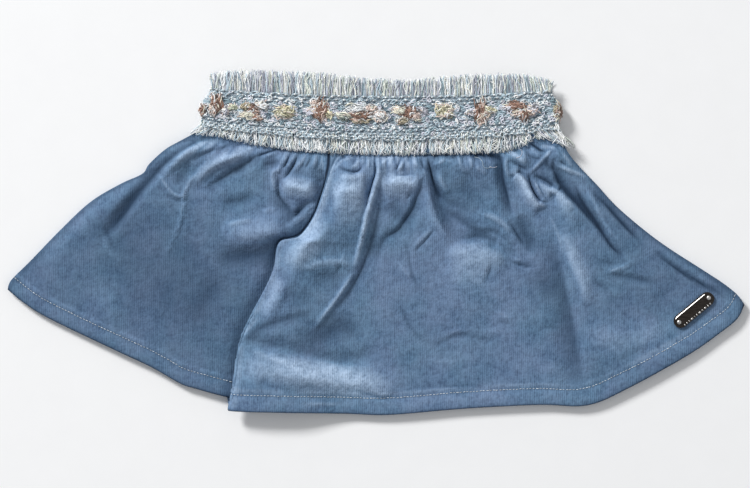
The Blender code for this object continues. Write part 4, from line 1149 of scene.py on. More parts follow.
def needlecord(name, sizes, colours):
    """Fine-wale corduroy: vertical cords, streaky pile, mottled dye, crests painted pale as wear
    and painted highlight, hollows given painted shade.
    """
    look = Look(name, 0.88)
    wander = look.number("MULTIPLY", look.noise((30.0, 14.0, 30.0), 2.0), WALE_WANDER)
    across = look.number("ADD", (look.place(), "X"), wander)
    turns = look.number("MULTIPLY", across, 2.0 * math.pi / sizes.wale_pitch)
    wale = look.spread(look.number("SINE", turns), -1.0, 1.0)
    streak = look.noise((800.0, 170.0, 500.0), 3.0, (0.36, 0.64))
    speck = look.noise((900.0, 620.0, 900.0), 2.0, (0.34, 0.66))
    crinkle = look.noise((210.0, 260.0, 210.0), 4.0, (0.34, 0.66))
    mottle = look.noise((70.0, 90.0, 70.0), 4.0, (0.34, 0.66))
    tint = look.noise((34.0, 26.0, 34.0), 3.0, (0.38, 0.62))

    pile = look.total((wale, 0.20), (streak, 0.38), (speck, 0.48), (crinkle, 0.44))
    colour = look.blend(pile, colours.cord_deep, colours.cord)
    colour = look.blend(look.number("MULTIPLY", mottle, 0.13), colour, colours.cord_worn_and_highlight)
    dyed = look.blend(tint, (0.95, 1.0, 1.01), (1.05, 0.985, 1.03))
    colour = look.blend(1.0, colour, dyed, "MULTIPLY")

    # Above zero the crests are painted pale, partly as rubbed wear and partly as painted highlight;
    # below zero the cloth gets painted shade, and at its darkest a near-black painted shadow
    wear_and_painted_light = (look.add("ShaderNodeAttribute", attribute_name="wear_and_painted_light"), "Fac")
    rubbed = look.number("ADD", look.total((crinkle, 0.55), (speck, 0.35)), 0.40)
    crest = look.number("MULTIPLY", look.number("MAXIMUM", wear_and_painted_light, 0.0), 0.95)
    colour = look.blend(look.number("MULTIPLY", crest, rubbed), colour, colours.cord_worn_and_highlight)
    painted_shade = look.number("MULTIPLY", wear_and_painted_light, -1.0)
    colour = look.blend(look.number("MAXIMUM", painted_shade, 0.0), colour, colours.cord_shade)
    painted_black_shadow_share = look.number("MULTIPLY", look.number("SUBTRACT", painted_shade, 0.9), 1.2)
    colour = look.blend(look.number("MAXIMUM", painted_black_shadow_share, 0.0), colour, PAINTED_BLACK_SHADOW)

    relief = look.total((wale, 0.35), (streak, 0.35), (speck, 0.25), (crinkle, 0.8), (mottle, 0.6))
    look.shade(Sheen_Weight=0.08, Sheen_Roughness=0.45, Sheen_Tint=(0.72, 0.82, 0.92, 1.0),
               Specular_IOR_Level=0.15)
    return look.finish(colour, relief, 0.55, 0.00042)


def thread_material(name):
    """Spun thread: its own colour from the mesh, with fine twist and fuzz."""
    look = Look(name, 0.75)
    own = look.add("ShaderNodeAttribute", attribute_name="thread")
    fuzz = look.noise((1400.0, 1400.0, 1400.0), 3.0, (0.3, 0.7))
    slub = look.noise((260.0, 260.0, 260.0), 2.0, (0.35, 0.65))
    shade = look.blend(fuzz, (0.78, 0.78, 0.80), (1.20, 1.20, 1.18))
    colour = look.blend(1.0, (own, "Color"), shade, "MULTIPLY")
    deep = look.blend(slub, (0.88, 0.90, 0.92), (1.08, 1.07, 1.06))
    colour = look.blend(1.0, colour, deep, "MULTIPLY")
    look.shade(Sheen_Weight=0.25)
    return look.finish(colour, fuzz, 0.5, 0.00012)


def weave_material(name, colours):
    """Ground of the braid: crossing yarns in blue-grey with pale flecks."""
    look = Look(name, 0.85)
    place = look.place()
    along = look.number("MULTIPLY", (place, "X"), 2.0 * math.pi / WEAVE_ACROSS)
    up = look.number("MULTIPLY", (place, "Y"), 2.0 * math.pi / WEAVE_UP)
    weave = look.number("MULTIPLY", look.number("SINE", along), look.number("SINE", up))
    weave = look.spread(weave, -1.0, 1.0)
    fleck = look.noise((500.0, 700.0, 600.0), 3.0, (0.42, 0.66))
    colour = look.blend(weave, darker(colours.braid, 0.45), colours.braid)
    colour = look.blend(fleck, colour, BRAID_FLECK)
    look.shade(Sheen_Weight=0.2)
    return look.finish(colour, weave, 0.7, 0.0004)


def stitch_material(name, colours):
    """Twisted sewing thread."""
    look = Look(name, 0.6)
    twist = look.noise((2500.0, 2500.0, 2500.0), 2.0, (0.3, 0.7))
    colour = look.blend(twist, darker(colours.stitch, 0.7), colours.stitch)
    own = look.add("ShaderNodeAttribute", attribute_name="thread")
    return look.finish(look.blend(1.0, colour, (own, "Color"), "MULTIPLY"))


def metal_material(name, colours):
    """Polished gunmetal with faint smears and fine scratches."""
    look = Look(name, 0.2, 1.0)
    smear = look.noise((140.0, 140.0, 140.0), 4.0)
    rough = look.add("ShaderNodeMapRange", To_Min=0.12, To_Max=0.34)
    look.feed(smear, rough, "Value")
    look.feed((rough, 0), look.shader, "Roughness")
    scratch = look.noise((300.0, 4200.0, 300.0), 2.0, (0.45, 0.6))
    colour = look.blend(scratch, colours.metal, darker(colours.metal, 1.7))
    return look.finish(colour, scratch, 0.12, 0.0001)


def rim_material(name):
    """Bright steel for the beads and the rivet heads; on the rim's inner slope it is a painted
    highlight, put only on the side that faces the light.
    """
    look = Look(name, 0.42, 1.0)
    smear = look.noise((900.0, 900.0, 900.0), 3.0)
    return look.finish(look.blend(smear, (0.34, 0.33, 0.32), (0.86, 0.84, 0.80)))


def floor_material(name):
    """Pale matt paper."""
    look = Look(name, 0.9)
    tooth = look.noise((60.0, 60.0, 60.0), 4.0)
    return look.finish(look.blend(tooth, (0.90, 0.90, 0.90), (0.93, 0.93, 0.93)))


def material_once(name, make, *details):
    """Reuse a material that an earlier operator has made."""
    name = "skirt_" + name
    return bpy.data.materials.get(name) or make(name, *details)


# Operators


class SkirtOperator:
    """What the operators share."""

    bl_options = {"REGISTER", "UNDO"}

    def finished(self, piece, slot, *nodes):
        """Let a piece ride on the skirt and stand for its nodes."""
        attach(piece, "root")
        if nodes:
            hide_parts(*nodes)


class SKIRT_OT_front_panel(SkirtOperator, bpy.types.Operator):
    """Front panel of needlecord with its lapped fold, gathers and creases"""

    bl_idname = "skirt.front_panel"
    bl_label = "Front panel"

    def execute(self, context):
        sizes = context.scene.skirt_sizes
        cord = material_once("needlecord", needlecord, sizes, context.scene.skirt_colours)
        down = np.interp(np.arange(ROW_COUNTS[-1] + 1), ROW_COUNTS, ROW_PLACES)
        grid, wear_and_painted_light = front_grid(down)
        first = waist_grid(grid[0], BACK_LIFT + CLOTH / 2 + FRONT_LIFT)
        points = np.concatenate([first, grid])
        wear_and_painted_light = np.concatenate([np.zeros((WAIST_ROWS, wear_and_painted_light.shape[1])), wear_and_painted_light])
        panel, row, column = grid_object("front_cloth", points, cord)
        # The front's wear and painted light goes onto the cloth as a point attribute
        point_values(panel, "wear_and_painted_light", np.clip(wear_and_painted_light[row, column], -2.0, 1.0))
        wall(panel, sizes.cloth_wall)
        self.finished(panel, "needlecord", "skirt_front")
        return {"FINISHED"}


class SKIRT_OT_back_panel(SkirtOperator, bpy.types.Operator):
    """Back panel, lying under the front"""

    bl_idname = "skirt.back_panel"
    bl_label = "Back panel"

    def execute(self, context):
        sizes = context.scene.skirt_sizes
        cord = material_once("needlecord", needlecord, sizes, context.scene.skirt_colours)
        down = np.linspace(0.0, 1.0, BACK_BODY_ROWS + 1)
        grid = back_grid(down)
        first = waist_grid(grid[0], BACK_LIFT + CLOTH / 2)
        panel, _, _ = grid_object("back_cloth", np.concatenate([first, grid]), cord)
        wall(panel, sizes.cloth_wall)
        self.finished(panel, "needlecord", "skirt_back")
        return {"FINISHED"}


class SKIRT_OT_hem_stitches(SkirtOperator, bpy.types.Operator):
    """Topstitching along the turned hems of the front and the back"""

    bl_idname = "skirt.hem_stitches"
    bl_label = "Hem stitches"

    def execute(self, context):
        thread = material_once("stitching", stitch_material, context.scene.skirt_colours)
        down = np.array([0.0, STITCH_LINE - STITCH_BAND, STITCH_LINE, STITCH_LINE + STITCH_BAND,
                         1.0])
        line = front_grid(down)[0][1:4]
        sizes = context.scene.skirt_sizes
        first_lap = LEFT_COLUMNS
        last_lap = line.shape[1] - RIGHT_COLUMNS - 1
        chance = np.random.default_rng(STITCH_SEED)
        paths = []
        for part in (line[:, :first_lap + 1], line[:, last_lap:]):
            paths.append(stitch_paths(part, sizes.cloth_wall / 2, chance))
        under = STITCH_RADIUS - sizes.cloth_wall / 2
        paths.append(stitch_paths(back_grid(down)[1:4][:, ::-1], under, chance))
        paths = np.concatenate(paths)
        radii = STITCH_RADIUS * chance.uniform(0.8, 1.15, (len(paths), 1))
        radii = radii * [[0.5, 1.0, 1.0, 0.5]]
        colours = chance.uniform(0.62, 1.1, (len(paths), 1)) * np.ones((1, 3))
        made = strands("hem_stitches", paths, radii, colours, thread, sides=6)
        self.finished(made, "needlecord")
        return {"FINISHED"}


def stitch_paths(part, lift, chance):
    """Short stitches along the middle line of three rows, standing on the cloth."""
    middle = part[1]
    step = np.linalg.norm(np.diff(middle, axis=0), axis=1)
    travelled = np.concatenate(([0.0], np.cumsum(step)))
    across = part[0] - part[2]
    normal = np.cross(np.gradient(middle, axis=0), across)
    normal /= np.linalg.norm(normal, axis=1, keepdims=True)
    count = int(travelled[-1] / STITCH_PITCH)
    starts = (np.arange(count) + 0.3) * STITCH_PITCH
    rise = np.array([-0.00012, 0.00014, 0.00014, -0.00012])
    paths = []
    across = across / np.linalg.norm(across, axis=1, keepdims=True)
    for start in starts:
        length = STITCH_LENGTH * chance.uniform(0.75, 1.12)
        along = start + chance.normal(0.0, 0.00010) + length * np.array([0.0, 0.22, 0.78, 1.0])
        place = np.stack([np.interp(along, travelled, middle[:, k]) for k in range(3)], -1)
        up = np.stack([np.interp(along, travelled, normal[:, k]) for k in range(3)], -1)
        beside = np.stack([np.interp(along, travelled, across[:, k]) for k in range(3)], -1)
        slant = chance.normal(0.0, 0.00008) + chance.normal(0.0, 0.00010) * np.linspace(-1, 1, 4)
        paths.append(place + up * (lift + rise)[:, None] + beside * slant[:, None])
    return np.array(paths)


class SKIRT_OT_braid(SkirtOperator, bpy.types.Operator):
    """Woven ground of the braid, front and back, curled round the side edges"""

    bl_idname = "skirt.braid"
    bl_label = "Braid"

    def execute(self, context):
        weave = material_once("braid_weave", weave_material, context.scene.skirt_colours)
        low, high = braid_limits()
        x = np.linspace(low, high, BRAID_COLUMNS + 1)[None, :]
        share = np.linspace(0.0, 1.0, BRAID_BODY_ROWS + 1)[:, None]
        y = braid_line(x, share)
        x = x + 0.0 * y
        halves = (("braid_ground_front", 1, "braid_front", ["front_cloth"]),
                  ("braid_ground_back", -1, "braid_back", []))
        for name, side, node, below in halves:
            lift = GROUND_LIFT + TEXTURE_HEIGHT * np.sin(x / 0.0011) * np.sin(y / 0.0013)
            made, _, _ = grid_object(name, on_braid(x, y, lift, side), weave)
            wall(made, GROUND_WALL)
            self.finished(made, "braid_weave", node)
        return {"FINISHED"}


class SKIRT_OT_chain_rows(SkirtOperator, bpy.types.Operator):
    """Looped chain rows along both edges of the braid, and the slubby yarns between"""

    bl_idname = "skirt.chain_rows"
    bl_label = "Chain rows"

    def execute(self, context):
        yarn = material_once("yarn", thread_material)
        chance = np.random.default_rng(CHAIN_SEED)
        pitch = context.scene.skirt_sizes.chain_pitch
        for label, side, lift in CHAIN_SIDES:
            paths, radii, colours = chain_threads(pitch, side, lift, chance)
            made = strands("chain_rows_" + label, paths, radii, colours, yarn, sides=5)
            self.finished(made, "braid_weave")
            runs = yarn_paths(side, lift, chance)
            colours = mix_of(*YARN_MIX, len(runs), chance)
            slub = 1.0 + 0.35 * np.sin(np.linspace(0, 260, runs.shape[1]))[None, :]
            radii = YARN_RADIUS * slub * chance.uniform(0.8, 1.15, (len(runs), 1))
            made = strands("ground_yarns_" + label, runs, radii, colours, yarn, sides=5)
            self.finished(made, "braid_weave")
        return {"FINISHED"}


# Name, side and how far the chains stand above the braid's inner face
CHAIN_SIDES = (("front", 1, 0.0015), ("back", -1, 0.0012))

# Rows at a share of the braid's height; those past 1 hang over the front's lower fringe
CHAIN_ROWS = (ChainRow(0.050, 0.0, 1.0, 1.0), ChainRow(0.135, 0.5, 1.0, 1.0),
              ChainRow(0.220, 0.0, 1.0, 0.9), ChainRow(0.790, 0.5, 0.8, 0.9),
              ChainRow(0.865, 0.0, 0.8, 1.0), ChainRow(0.950, 0.5, 0.8, 1.0),
              ChainRow(1.025, 0.0, 0.8, 1.0), ChainRow(1.080, 0.5, 0.8, 0.8))

YARN_MIX = ((PALE_BLUE, LILAC, TEAL, GREY_VIOLET), (0.45, 0.2, 0.15, 0.2))
LOOP_MIX = ((PALE_BLUE, LILAC, WHITE, TEAL, SLATE), (0.32, 0.28, 0.14, 0.16, 0.10))


def chain_threads(pitch, side, lift, chance):
    """Stitches of the chain rows: an arch of pale yarn, a white knot in it as painted highlight, a
    dark slate strand below as painted shadow in the gap.
    """
    low, high = braid_limits()
    part = np.linspace(-1.0, 1.0, 6)
    knob = np.array([0.35, 0.85, 1.0, 1.0, 0.85, 0.35])
    paths, radii, colours = [], [], []
    rows = [row for row in CHAIN_ROWS if side > 0 or row.share < 1.0]
    for row in rows:
        spacing = pitch * row.spacing
        for place in range(int((high - low) / spacing)):
            centre = low + (place + 0.25 + row.stagger) * spacing + chance.normal(0.0, 0.00045)
            lean = chance.normal(0.0, 0.26)
            tall = 0.0011 * row.size * chance.uniform(0.6, 1.3)
            drift = chance.normal(0.0, 0.00022)
            # The white knot stands in for the highlight on each loop, a painted highlight; the
            # slate strand below is painted shadow in the gap between loops
            shapes = (
                (0.52 * spacing * part, tall * (1.0 - part ** 2) - 0.0004, 0.00046, PALE_BLUE),
                (0.13 * spacing * part, 0.00035 + 0.0002 * part, 0.00052, WHITE),
                (0.18 * spacing * part, -0.0007 - 0.0003 * part ** 2, 0.00030, SLATE),
            )
            for rise, (local_x, local_y, radius, colour) in zip((0.0, 0.0004, -0.0003), shapes):
                local_y = local_y + drift + 0.0 * part
                x = np.clip(centre + local_x - lean * local_y, low, high)
                y = braid_line(x, row.share) + local_y + lean * local_x
                height = lift + rise + chance.normal(0.0, 0.0001)
                height = height + CHAIN_RISE * np.maximum(below_waist(x, y), 0.0)
                paths.append(on_braid(x, y, height, side))
                radii.append(radius * knob * chance.uniform(0.85, 1.15))
                tint = np.array(colour) * chance.uniform(0.62, 1.10)
                colours.append(np.clip(tint, 0.0, 1.0))
    return np.array(paths), np.array(radii), np.array(colours)


def yarn_paths(side, lift, chance):
    """Wavy slubby yarns that run the whole way along the middle of the braid."""
    low, high = braid_limits()
    x = np.linspace(low, high, 241)
    paths = []
    for share in np.linspace(0.30, 0.74, YARN_COUNT):
        wave = 0.0006 * np.sin(x / chance.uniform(0.0016, 0.0030) + chance.uniform(0, 6.0))
        wave += 0.0004 * np.sin(x / chance.uniform(0.0007, 0.0011) + chance.uniform(0, 6.0))
        y = braid_line(x, share) + wave
        height = lift - 0.0002 + 0.00025 * np.sin(x / 0.0012 + chance.uniform(0, 6.0))
        paths.append(on_braid(x, y, height, side))
    return np.array(paths)


class SKIRT_OT_flowers(SkirtOperator, bpy.types.Operator):
    """Tufted flowers and loose loops of boucle on the braid"""

    bl_idname = "skirt.flowers"
    bl_label = "Flowers"

    def execute(self, context):
        yarn = material_once("yarn", thread_material)
        chance = np.random.default_rng(TUFT_SEED)
        paths, radii, colours = [], [], []
        for tuft in TUFTS:
            for _ in range(int(TUFT_DENSITY * tuft.count)):
                path, radius, rim = tuft_thread(tuft, chance)
                paths.append(path)
                radii.append(radius)
                colours.append(tuft_colour(tuft, rim, chance))
        colours = np.clip(np.array(colours), 0.0, 1.0)
        made = strands("flower_tufts", np.array(paths), np.array(radii), colours, yarn,
                       flat=0.6)
        self.finished(made, "braid_weave")
        loops = boucle_paths(chance)
        colours = mix_of(*LOOP_MIX, len(loops), chance)
        radii = LOOP_RADIUS * chance.uniform(0.8, 1.3, (len(loops), 1))
        radii = radii * np.ones((1, loops.shape[1]))
        made = strands("boucle_loops", loops, radii, colours, yarn)
        self.finished(made, "braid_weave")
        return {"FINISHED"}


def tuft_colour(tuft, rim, chance):
    """The tuft's own colour, darker in its middle, with pale threads where rim is near 1."""
    draw = chance.uniform()
    pale = 0.12 + 0.58 * rim
    if draw < 0.34 * pale:
        return np.array(PEACH) * chance.uniform(0.85, 1.10)
    if draw < 0.78 * pale:
        return np.array(WHITE) * chance.uniform(0.70, 1.10)
    if draw < pale:
        return np.array(CREAM) * chance.uniform(0.8, 1.1)
    if draw > 0.76 + 0.20 * rim:
        return np.array(tuft.colour) * chance.uniform(0.20, 0.50)
    return np.array(tuft.colour) * chance.uniform(0.70, 1.25)


def tuft_thread(tuft, chance):
    """One curled thread of a tuft: its path, its radius along it and how near the rim it is."""
    across, along = chance.normal(0.0, 0.48, 2)
    spread = tuft.spread if chance.uniform() < 0.6 else 90.0
    heading = math.radians(tuft.angle + chance.normal(0.0, 0.6) * spread)
    reach = chance.uniform(0.32, 0.66) * max(tuft.half_width * abs(math.cos(heading)),
                                             tuft.half_height * abs(math.sin(heading))) + 0.0006
    part = np.linspace(-1.0, 1.0, 7)
    bend = chance.normal(0.0, 0.0009) * (1.0 - part ** 2)
    bend = bend + chance.normal(0.0, 0.00045) * np.sin(5.0 * part + chance.uniform(0.0, 6.0))
    centre_x = tuft.x + np.clip(across, -1, 1) * tuft.half_width * 0.85
    centre_y = tuft.y + np.clip(along, -1, 1) * tuft.half_height * 0.80
    x = centre_x + reach * part * math.cos(heading) - bend * math.sin(heading)
    y = centre_y + reach * part * math.sin(heading) + bend * math.cos(heading)
    rim = min(across ** 2 + along ** 2, 1.0)
    crown = 0.0014 * (1.0 - 0.6 * rim) + chance.uniform(0.0, 0.0009)
    height = TUFT_LIFT + crown * (1.0 - 0.7 * part ** 2)
    low, high = braid_limits()
    radius = TUFT_RADIUS * chance.uniform(0.7, 1.35) * np.array([0.5, 0.9, 1.0, 1.0, 1.0, 0.9, 0.5])
    return on_braid(np.clip(x, low, high), y, height), radius, rim


def boucle_paths(chance):
    """Small loose loops scattered over the middle of the braid's front."""
    low, high = braid_limits()
    turn = np.linspace(0.0, 2.0 * math.pi * 0.92, 9)
    paths = []
    for _ in range(LOOP_COUNT):
        centre_x = chance.uniform(low + 0.002, high - 0.002)
        share = np.clip(chance.normal(0.52, 0.20), 0.06, 0.94)
        wide = chance.uniform(0.0007, 0.0019)
        tall = chance.uniform(0.0004, 0.0010)
        lean = chance.normal(0.0, 0.5)
        start = chance.uniform(0.0, 6.28)
        local_x = wide * np.cos(turn + start)
        local_y = tall * np.sin(turn + start)
        x = np.clip(centre_x + local_x * math.cos(lean) - local_y * math.sin(lean), low, high)
        y = braid_line(x, share)
        y = y + local_x * math.sin(lean) + local_y * math.cos(lean)
        height = LOOP_LIFT + 0.0006 * chance.uniform(0.2, 1.0) * (0.6 + 0.4 * np.sin(turn))
        paths.append(on_braid(x, y, height))
    return np.array(paths)


UPPER_MIX = ((PALE_BLUE, GREY_VIOLET, WHITE, TEAL, SAGE, OYSTER),
             (0.16, 0.27, 0.17, 0.10, 0.15, 0.15))
LOWER_MIX = ((PALE_BLUE, WHITE, OYSTER, SLATE, SAGE, LILAC),
             (0.23, 0.49, 0.13, 0.04, 0.07, 0.04))

# Where the cut ends of the threads lie, in millimetres
UPPER_TIPS = (-100, 101.5, -88, 103, -70, 103.3, -45, 102.4, -27, 101.2, -10, 99.0, 17, 97.4,
              44, 100.0, 62, 101.0, 89, 101.0, 98, 99.5, 106, 97.5)
LOWER_TIPS = (-110, 65.5, -103, 64.5, -93, 63.5, -83, 61, -70, 58.5, -52, 55.6, -26, 53.6,
              14, 52.6, 60, 53.6, 76, 54.6, 86, 57.2, 92, 60.2, 98, 62.4, 104, 62.2, 109, 60,
              116, 57)
BACK_UPPER_TIPS = (-100, 100, -60, 101, -10, 98.5, 17, 97, 44, 99, 62, 100, 106, 97.5)
BACK_LOWER_TIPS = (-110, 65.0, -83, 61.5, -52, 57, 14, 54.5, 60, 55, 99, 60.5, 116, 59.5)

FRINGES = [
    FringeEdge("upper_front", "fringe_upper_front", waist_top, UPPER_TIPS, 0.0069, 4, 0.00075,
               *UPPER_MIX),
    FringeEdge("lower_front", "fringe_lower_front", waist_low, LOWER_TIPS, 0.0069, 4, 0.00150,
               *LOWER_MIX),
    FringeEdge("upper_back", "fringe_upper_back", waist_top, BACK_UPPER_TIPS, 0.0010, 2, 0.00035,
               *UPPER_MIX),
    FringeEdge("lower_back", "fringe_lower_back", waist_low, BACK_LOWER_TIPS, 0.0010, 2, 0.00050,
               *LOWER_MIX),
]


class SKIRT_OT_fringes(SkirtOperator, bpy.types.Operator):
    """Loose cut threads along both edges of the braid, front and back"""

    bl_idname = "skirt.fringes"
    bl_label = "Fringes"

    def execute(self, context):
        threads = material_once("fringe_threads", thread_material)
        chance = np.random.default_rng(FRINGE_SEED)
        pitch = context.scene.skirt_sizes.thread_pitch
        for fringe in FRINGES:
            paths, radii = fringe_paths(fringe, pitch, chance)
            colours = mix_of(fringe.palette, fringe.shares, len(paths), chance)
            made = strands("threads_" + fringe.name, paths, radii, colours, threads)
            self.finished(made, "fringe_threads", fringe.node)
        return {"FINISHED"}


def fringe_paths(fringe, pitch, chance):
    """Threads in a few layers, each rooted in the braid's edge and slightly bent."""
    upper = fringe.edge is waist_top
    corner = 0 if upper else 1
    outward = 1 if upper else -1
    first = BRAID_LEFT[corner] + FRINGE_INSET
    last = BRAID_RIGHT[corner] - FRINGE_INSET
    tips = np.array(fringe.tips).reshape(-1, 2) / 1000
    per_layer = int((last - first) / pitch)
    part = np.linspace(0.0, 1.0, 7)
    paths, radii = [], []
    for layer in range(fringe.layers):
        for place in range(per_layer):
            share = (place + chance.uniform(0.0, 1.0)) / per_layer
            root_x = first + (last - first) * share
            lean = chance.normal(0.0, UPPER_LEAN if upper else LOWER_LEAN)
            lean += CLUMP_LEAN * math.sin(root_x / 0.00085 + 2.0 * math.sin(root_x / 0.0041))
            lean += end_lean(upper, share)
            root_y = fringe.edge(root_x) - outward * FRINGE_ROOT
            tip_y = np.interp(root_x + lean, tips[:, 0], tips[:, 1])
            reach = (tip_y - root_y) * chance.normal(1.0, 0.035)
            if chance.uniform() < 0.12:
                reach *= chance.uniform(0.75, 0.92)
            bends = fringe.wave * chance.normal(0.0, 1.0)
            x = root_x + lean * part ** 1.2
            x = x + bends * part * np.sin(part * chance.uniform(3.0, 7.0) + chance.uniform(0, 6.0))
            x = x + 0.5 * bends * np.sin(part * chance.uniform(7.0, 13.0)) * (0.3 + part)
            y = root_y + reach * part
            spread = (layer - (fringe.layers - 1) / 2) * LAYER_STEP
            z = fringe.level + spread + chance.normal(0.0, 0.00012) * part
            z = z + 0.00022 * np.sin(part * 5.0 + chance.uniform(0, 6.0))
            paths.append(np.stack([x, y, z], axis=-1))
            thick = FRINGE_RADIUS * chance.uniform(0.75, 1.25)
            radii.append(thick * np.array([1.0, 1.05, 1.0, 1.0, 0.95, 0.9, 0.6]))
    return np.array(paths), np.array(radii)


def end_lean(upper, share):
    """How far the threads near a fringe's ends lean aside."""
    if upper:
        return -0.0022 * smooth_step(0.80, 0.97, share) + 0.0045 * max(share - 0.985, 0) / 0.015
    left = -0.0034 * (1.0 - smooth_step(0.0, 0.16, share))
    return left + 0.0085 * smooth_step(0.86, 1.0, share)


# Loose thread ends lying on the cloth, in millimetres
STRAYS = ((59, 51.5, 62, 50.8, 63.8, 48.5, 64.2, 46, 66, 44.8, 69, 45.4),
          (68, 46, 70, 45.2, 72.5, 45.8),
          (85, 57, 87.5, 55, 86.5, 52, 84, 51))


class SKIRT_OT_stray_threads(SkirtOperator, bpy.types.Operator):
    """A few loose thread ends lying on the cloth under the fringe"""

    bl_idname = "skirt.stray_threads"
    bl_label = "Stray threads"

    def execute(self, context):
        cloth = bpy.data.objects.get("front_cloth")
        if cloth is None:
            self.report({"ERROR"}, "Make the front panel first")
            raise RuntimeError("The front panel is missing")
        threads = material_once("fringe_threads", thread_material)
        graph = context.evaluated_depsgraph_get()
        solid = cloth.evaluated_get(graph)
        paths = []
        for line in STRAYS:
            route = Route(np.array(line).reshape(-1, 2) / 1000)
            x, y = route.at(np.linspace(0.0, 1.0, STRAY_POINTS))
            path = []
            for place_x, place_y in zip(x, y):
                hit, spot, _, _ = solid.ray_cast((place_x, place_y, RAY_START), (0.0, 0.0, -1.0))
                if not hit:
                    raise RuntimeError("A stray thread lies beside the cloth")
                path.append((place_x, place_y, spot.z + STRAY_LIFT))
            paths.append(path)
        radii = STRAY_RADIUS * np.ones((len(paths), STRAY_POINTS))
        colours = np.array([PALE_BLUE, LILAC, LILAC])
        made = strands("stray_threads", np.array(paths), radii, colours, threads, sides=5)
        self.finished(made, "fringe_threads")
        return {"FINISHED"}


class SKIRT_OT_metal_plate(SkirtOperator, bpy.types.Operator):
    """Bare metal plate with small beads along its sloped rim, and its two rivet heads"""

    bl_idname = "skirt.metal_plate"
    bl_label = "Metal plate"

    def execute(self, context):
        metal = material_once("dark_metal", metal_material, context.scene.skirt_colours)
        bright = material_once("bright_metal", rim_material)
        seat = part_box("metal_plate")[0][2]
        bm = bmesh.new()
        outline = [bm.verts.new((x, y, 0.0)) for x, y in plate_outline()]
        base = bm.faces.new(outline)
        upper = bmesh.ops.extrude_face_region(bm, geom=[base], use_keep_orig=True)["geom"]
        bmesh.ops.translate(bm, vec=(0.0, 0.0, PLATE_THICK - PLATE_RISE),
                            verts=[v for v in upper if isinstance(v, bmesh.types.BMVert)])
        face = [f for f in upper if isinstance(f, bmesh.types.BMFace)]
        bmesh.ops.inset_region(bm, faces=face, thickness=PLATE_RIM)
        bmesh.ops.inset_region(bm, faces=face, thickness=PLATE_SLOPE, depth=PLATE_RISE)
        bmesh.ops.recalc_face_normals(bm, faces=bm.faces[:])
        # The rim's inner slope gets the bright steel only along the upper straight side, the side
        # that faces the key light: a painted highlight
        for side in bm.faces:
            along, across, up = side.normal
            side.material_index = int(across > 0.1 and -0.3 < along < 0.05 and 0.3 < up < 0.95)
        lay_plate(bm, seat)
        plate = mesh_object(bm, "plate", metal, smooth=False)
        plate.data.materials.append(bright)
        soften(plate, PLATE_BEVEL)
        self.finished(plate, "dark_metal", "metal_plate")

        beads = bmesh.new()
        for x, y, half in bead_places():
            made = bmesh.ops.create_icosphere(beads, subdivisions=3, radius=BEAD_RADIUS)["verts"]
            bmesh.ops.scale(beads, vec=(half / BEAD_RADIUS, 1.0, BEAD_FLATNESS), verts=made)
            bmesh.ops.translate(beads, vec=(x, y, PLATE_THICK - SUNK), verts=made)
        lay_plate(beads, seat)
        self.finished(mesh_object(beads, "plate_beads", bright), "dark_metal")

        for side, label in ((-1, "left"), (1, "right")):
            bm = bmesh.new()
            head = bmesh.ops.create_uvsphere(bm, u_segments=24, v_segments=14, radius=RIVET_HEAD)
            bmesh.ops.scale(bm, vec=(1.0, 1.0, HEAD_FLATNESS), verts=head["verts"])
            lower_half = [vert for vert in bm.verts if vert.co.z < -NEARLY_ZERO]
            bmesh.ops.delete(bm, geom=lower_half, context="VERTS")
            bmesh.ops.holes_fill(bm, edges=bm.edges[:])
            height = PLATE_THICK - SUNK
            bmesh.ops.translate(bm, vec=(side * RIVET_PLACE, 0.0, height), verts=bm.verts[:])
            bmesh.ops.recalc_face_normals(bm, faces=bm.faces[:])
            lay_plate(bm, seat)
            rivet = mesh_object(bm, "rivet_" + label, bright)
            self.finished(rivet, "dark_metal", "plate_rivet_" + label)
        return {"FINISHED"}


def plate_outline():
    """A long rounded bar: two straight sides and two half-round ends."""
    radius = PLATE_WIDTH / 2
    straight = PLATE_LENGTH / 2 - PLATE_WIDTH / 2
    outline = []
    for end in (1, -1):
        for step in range(PLATE_STEPS + 1):
            angle = math.pi * (step / PLATE_STEPS - 0.5) + (0.0 if end > 0 else math.pi)
            outline.append((end * straight + radius * math.cos(angle), radius * math.sin(angle)))
    return outline


def bead_places():
    """Place and half length of each round or long bead along the rim's lower side."""
    straight = PLATE_LENGTH / 2 - PLATE_WIDTH / 2
    y = -PLATE_WIDTH / 2 + PLATE_RIM + 0.3 * PLATE_SLOPE
    gap = (2.0 * straight - 2.0 * BEAD_UNIT * sum(BEAD_LENGTHS)) / (len(BEAD_LENGTHS) - 1)
    places = []
    start = -straight
    for length in BEAD_LENGTHS:
        half = BEAD_UNIT * length
        places.append((start + half, y, half))
        start += 2.0 * half + gap
    return places


def lay_plate(bm, seat):
    """Turn and move a piece of the plate from the origin to its place on the cloth."""
    turn = Vector((math.cos(PLATE_ANGLE), math.sin(PLATE_ANGLE)))
    for vert in bm.verts:
        x, y, z = vert.co
        vert.co = (PLATE_X + x * turn.x - y * turn.y, PLATE_Y + x * turn.y + y * turn.x, seat + z)


def soften(made, width):
    """Round a hard piece's edges."""
    bevel = made.modifiers.new("edges", "BEVEL")
    bevel.width = width
    bevel.segments = 3
    bevel.limit_method = "ANGLE"
    bevel.angle_limit = math.radians(25)
    bevel.harden_normals = True
    made.data.shade_smooth()


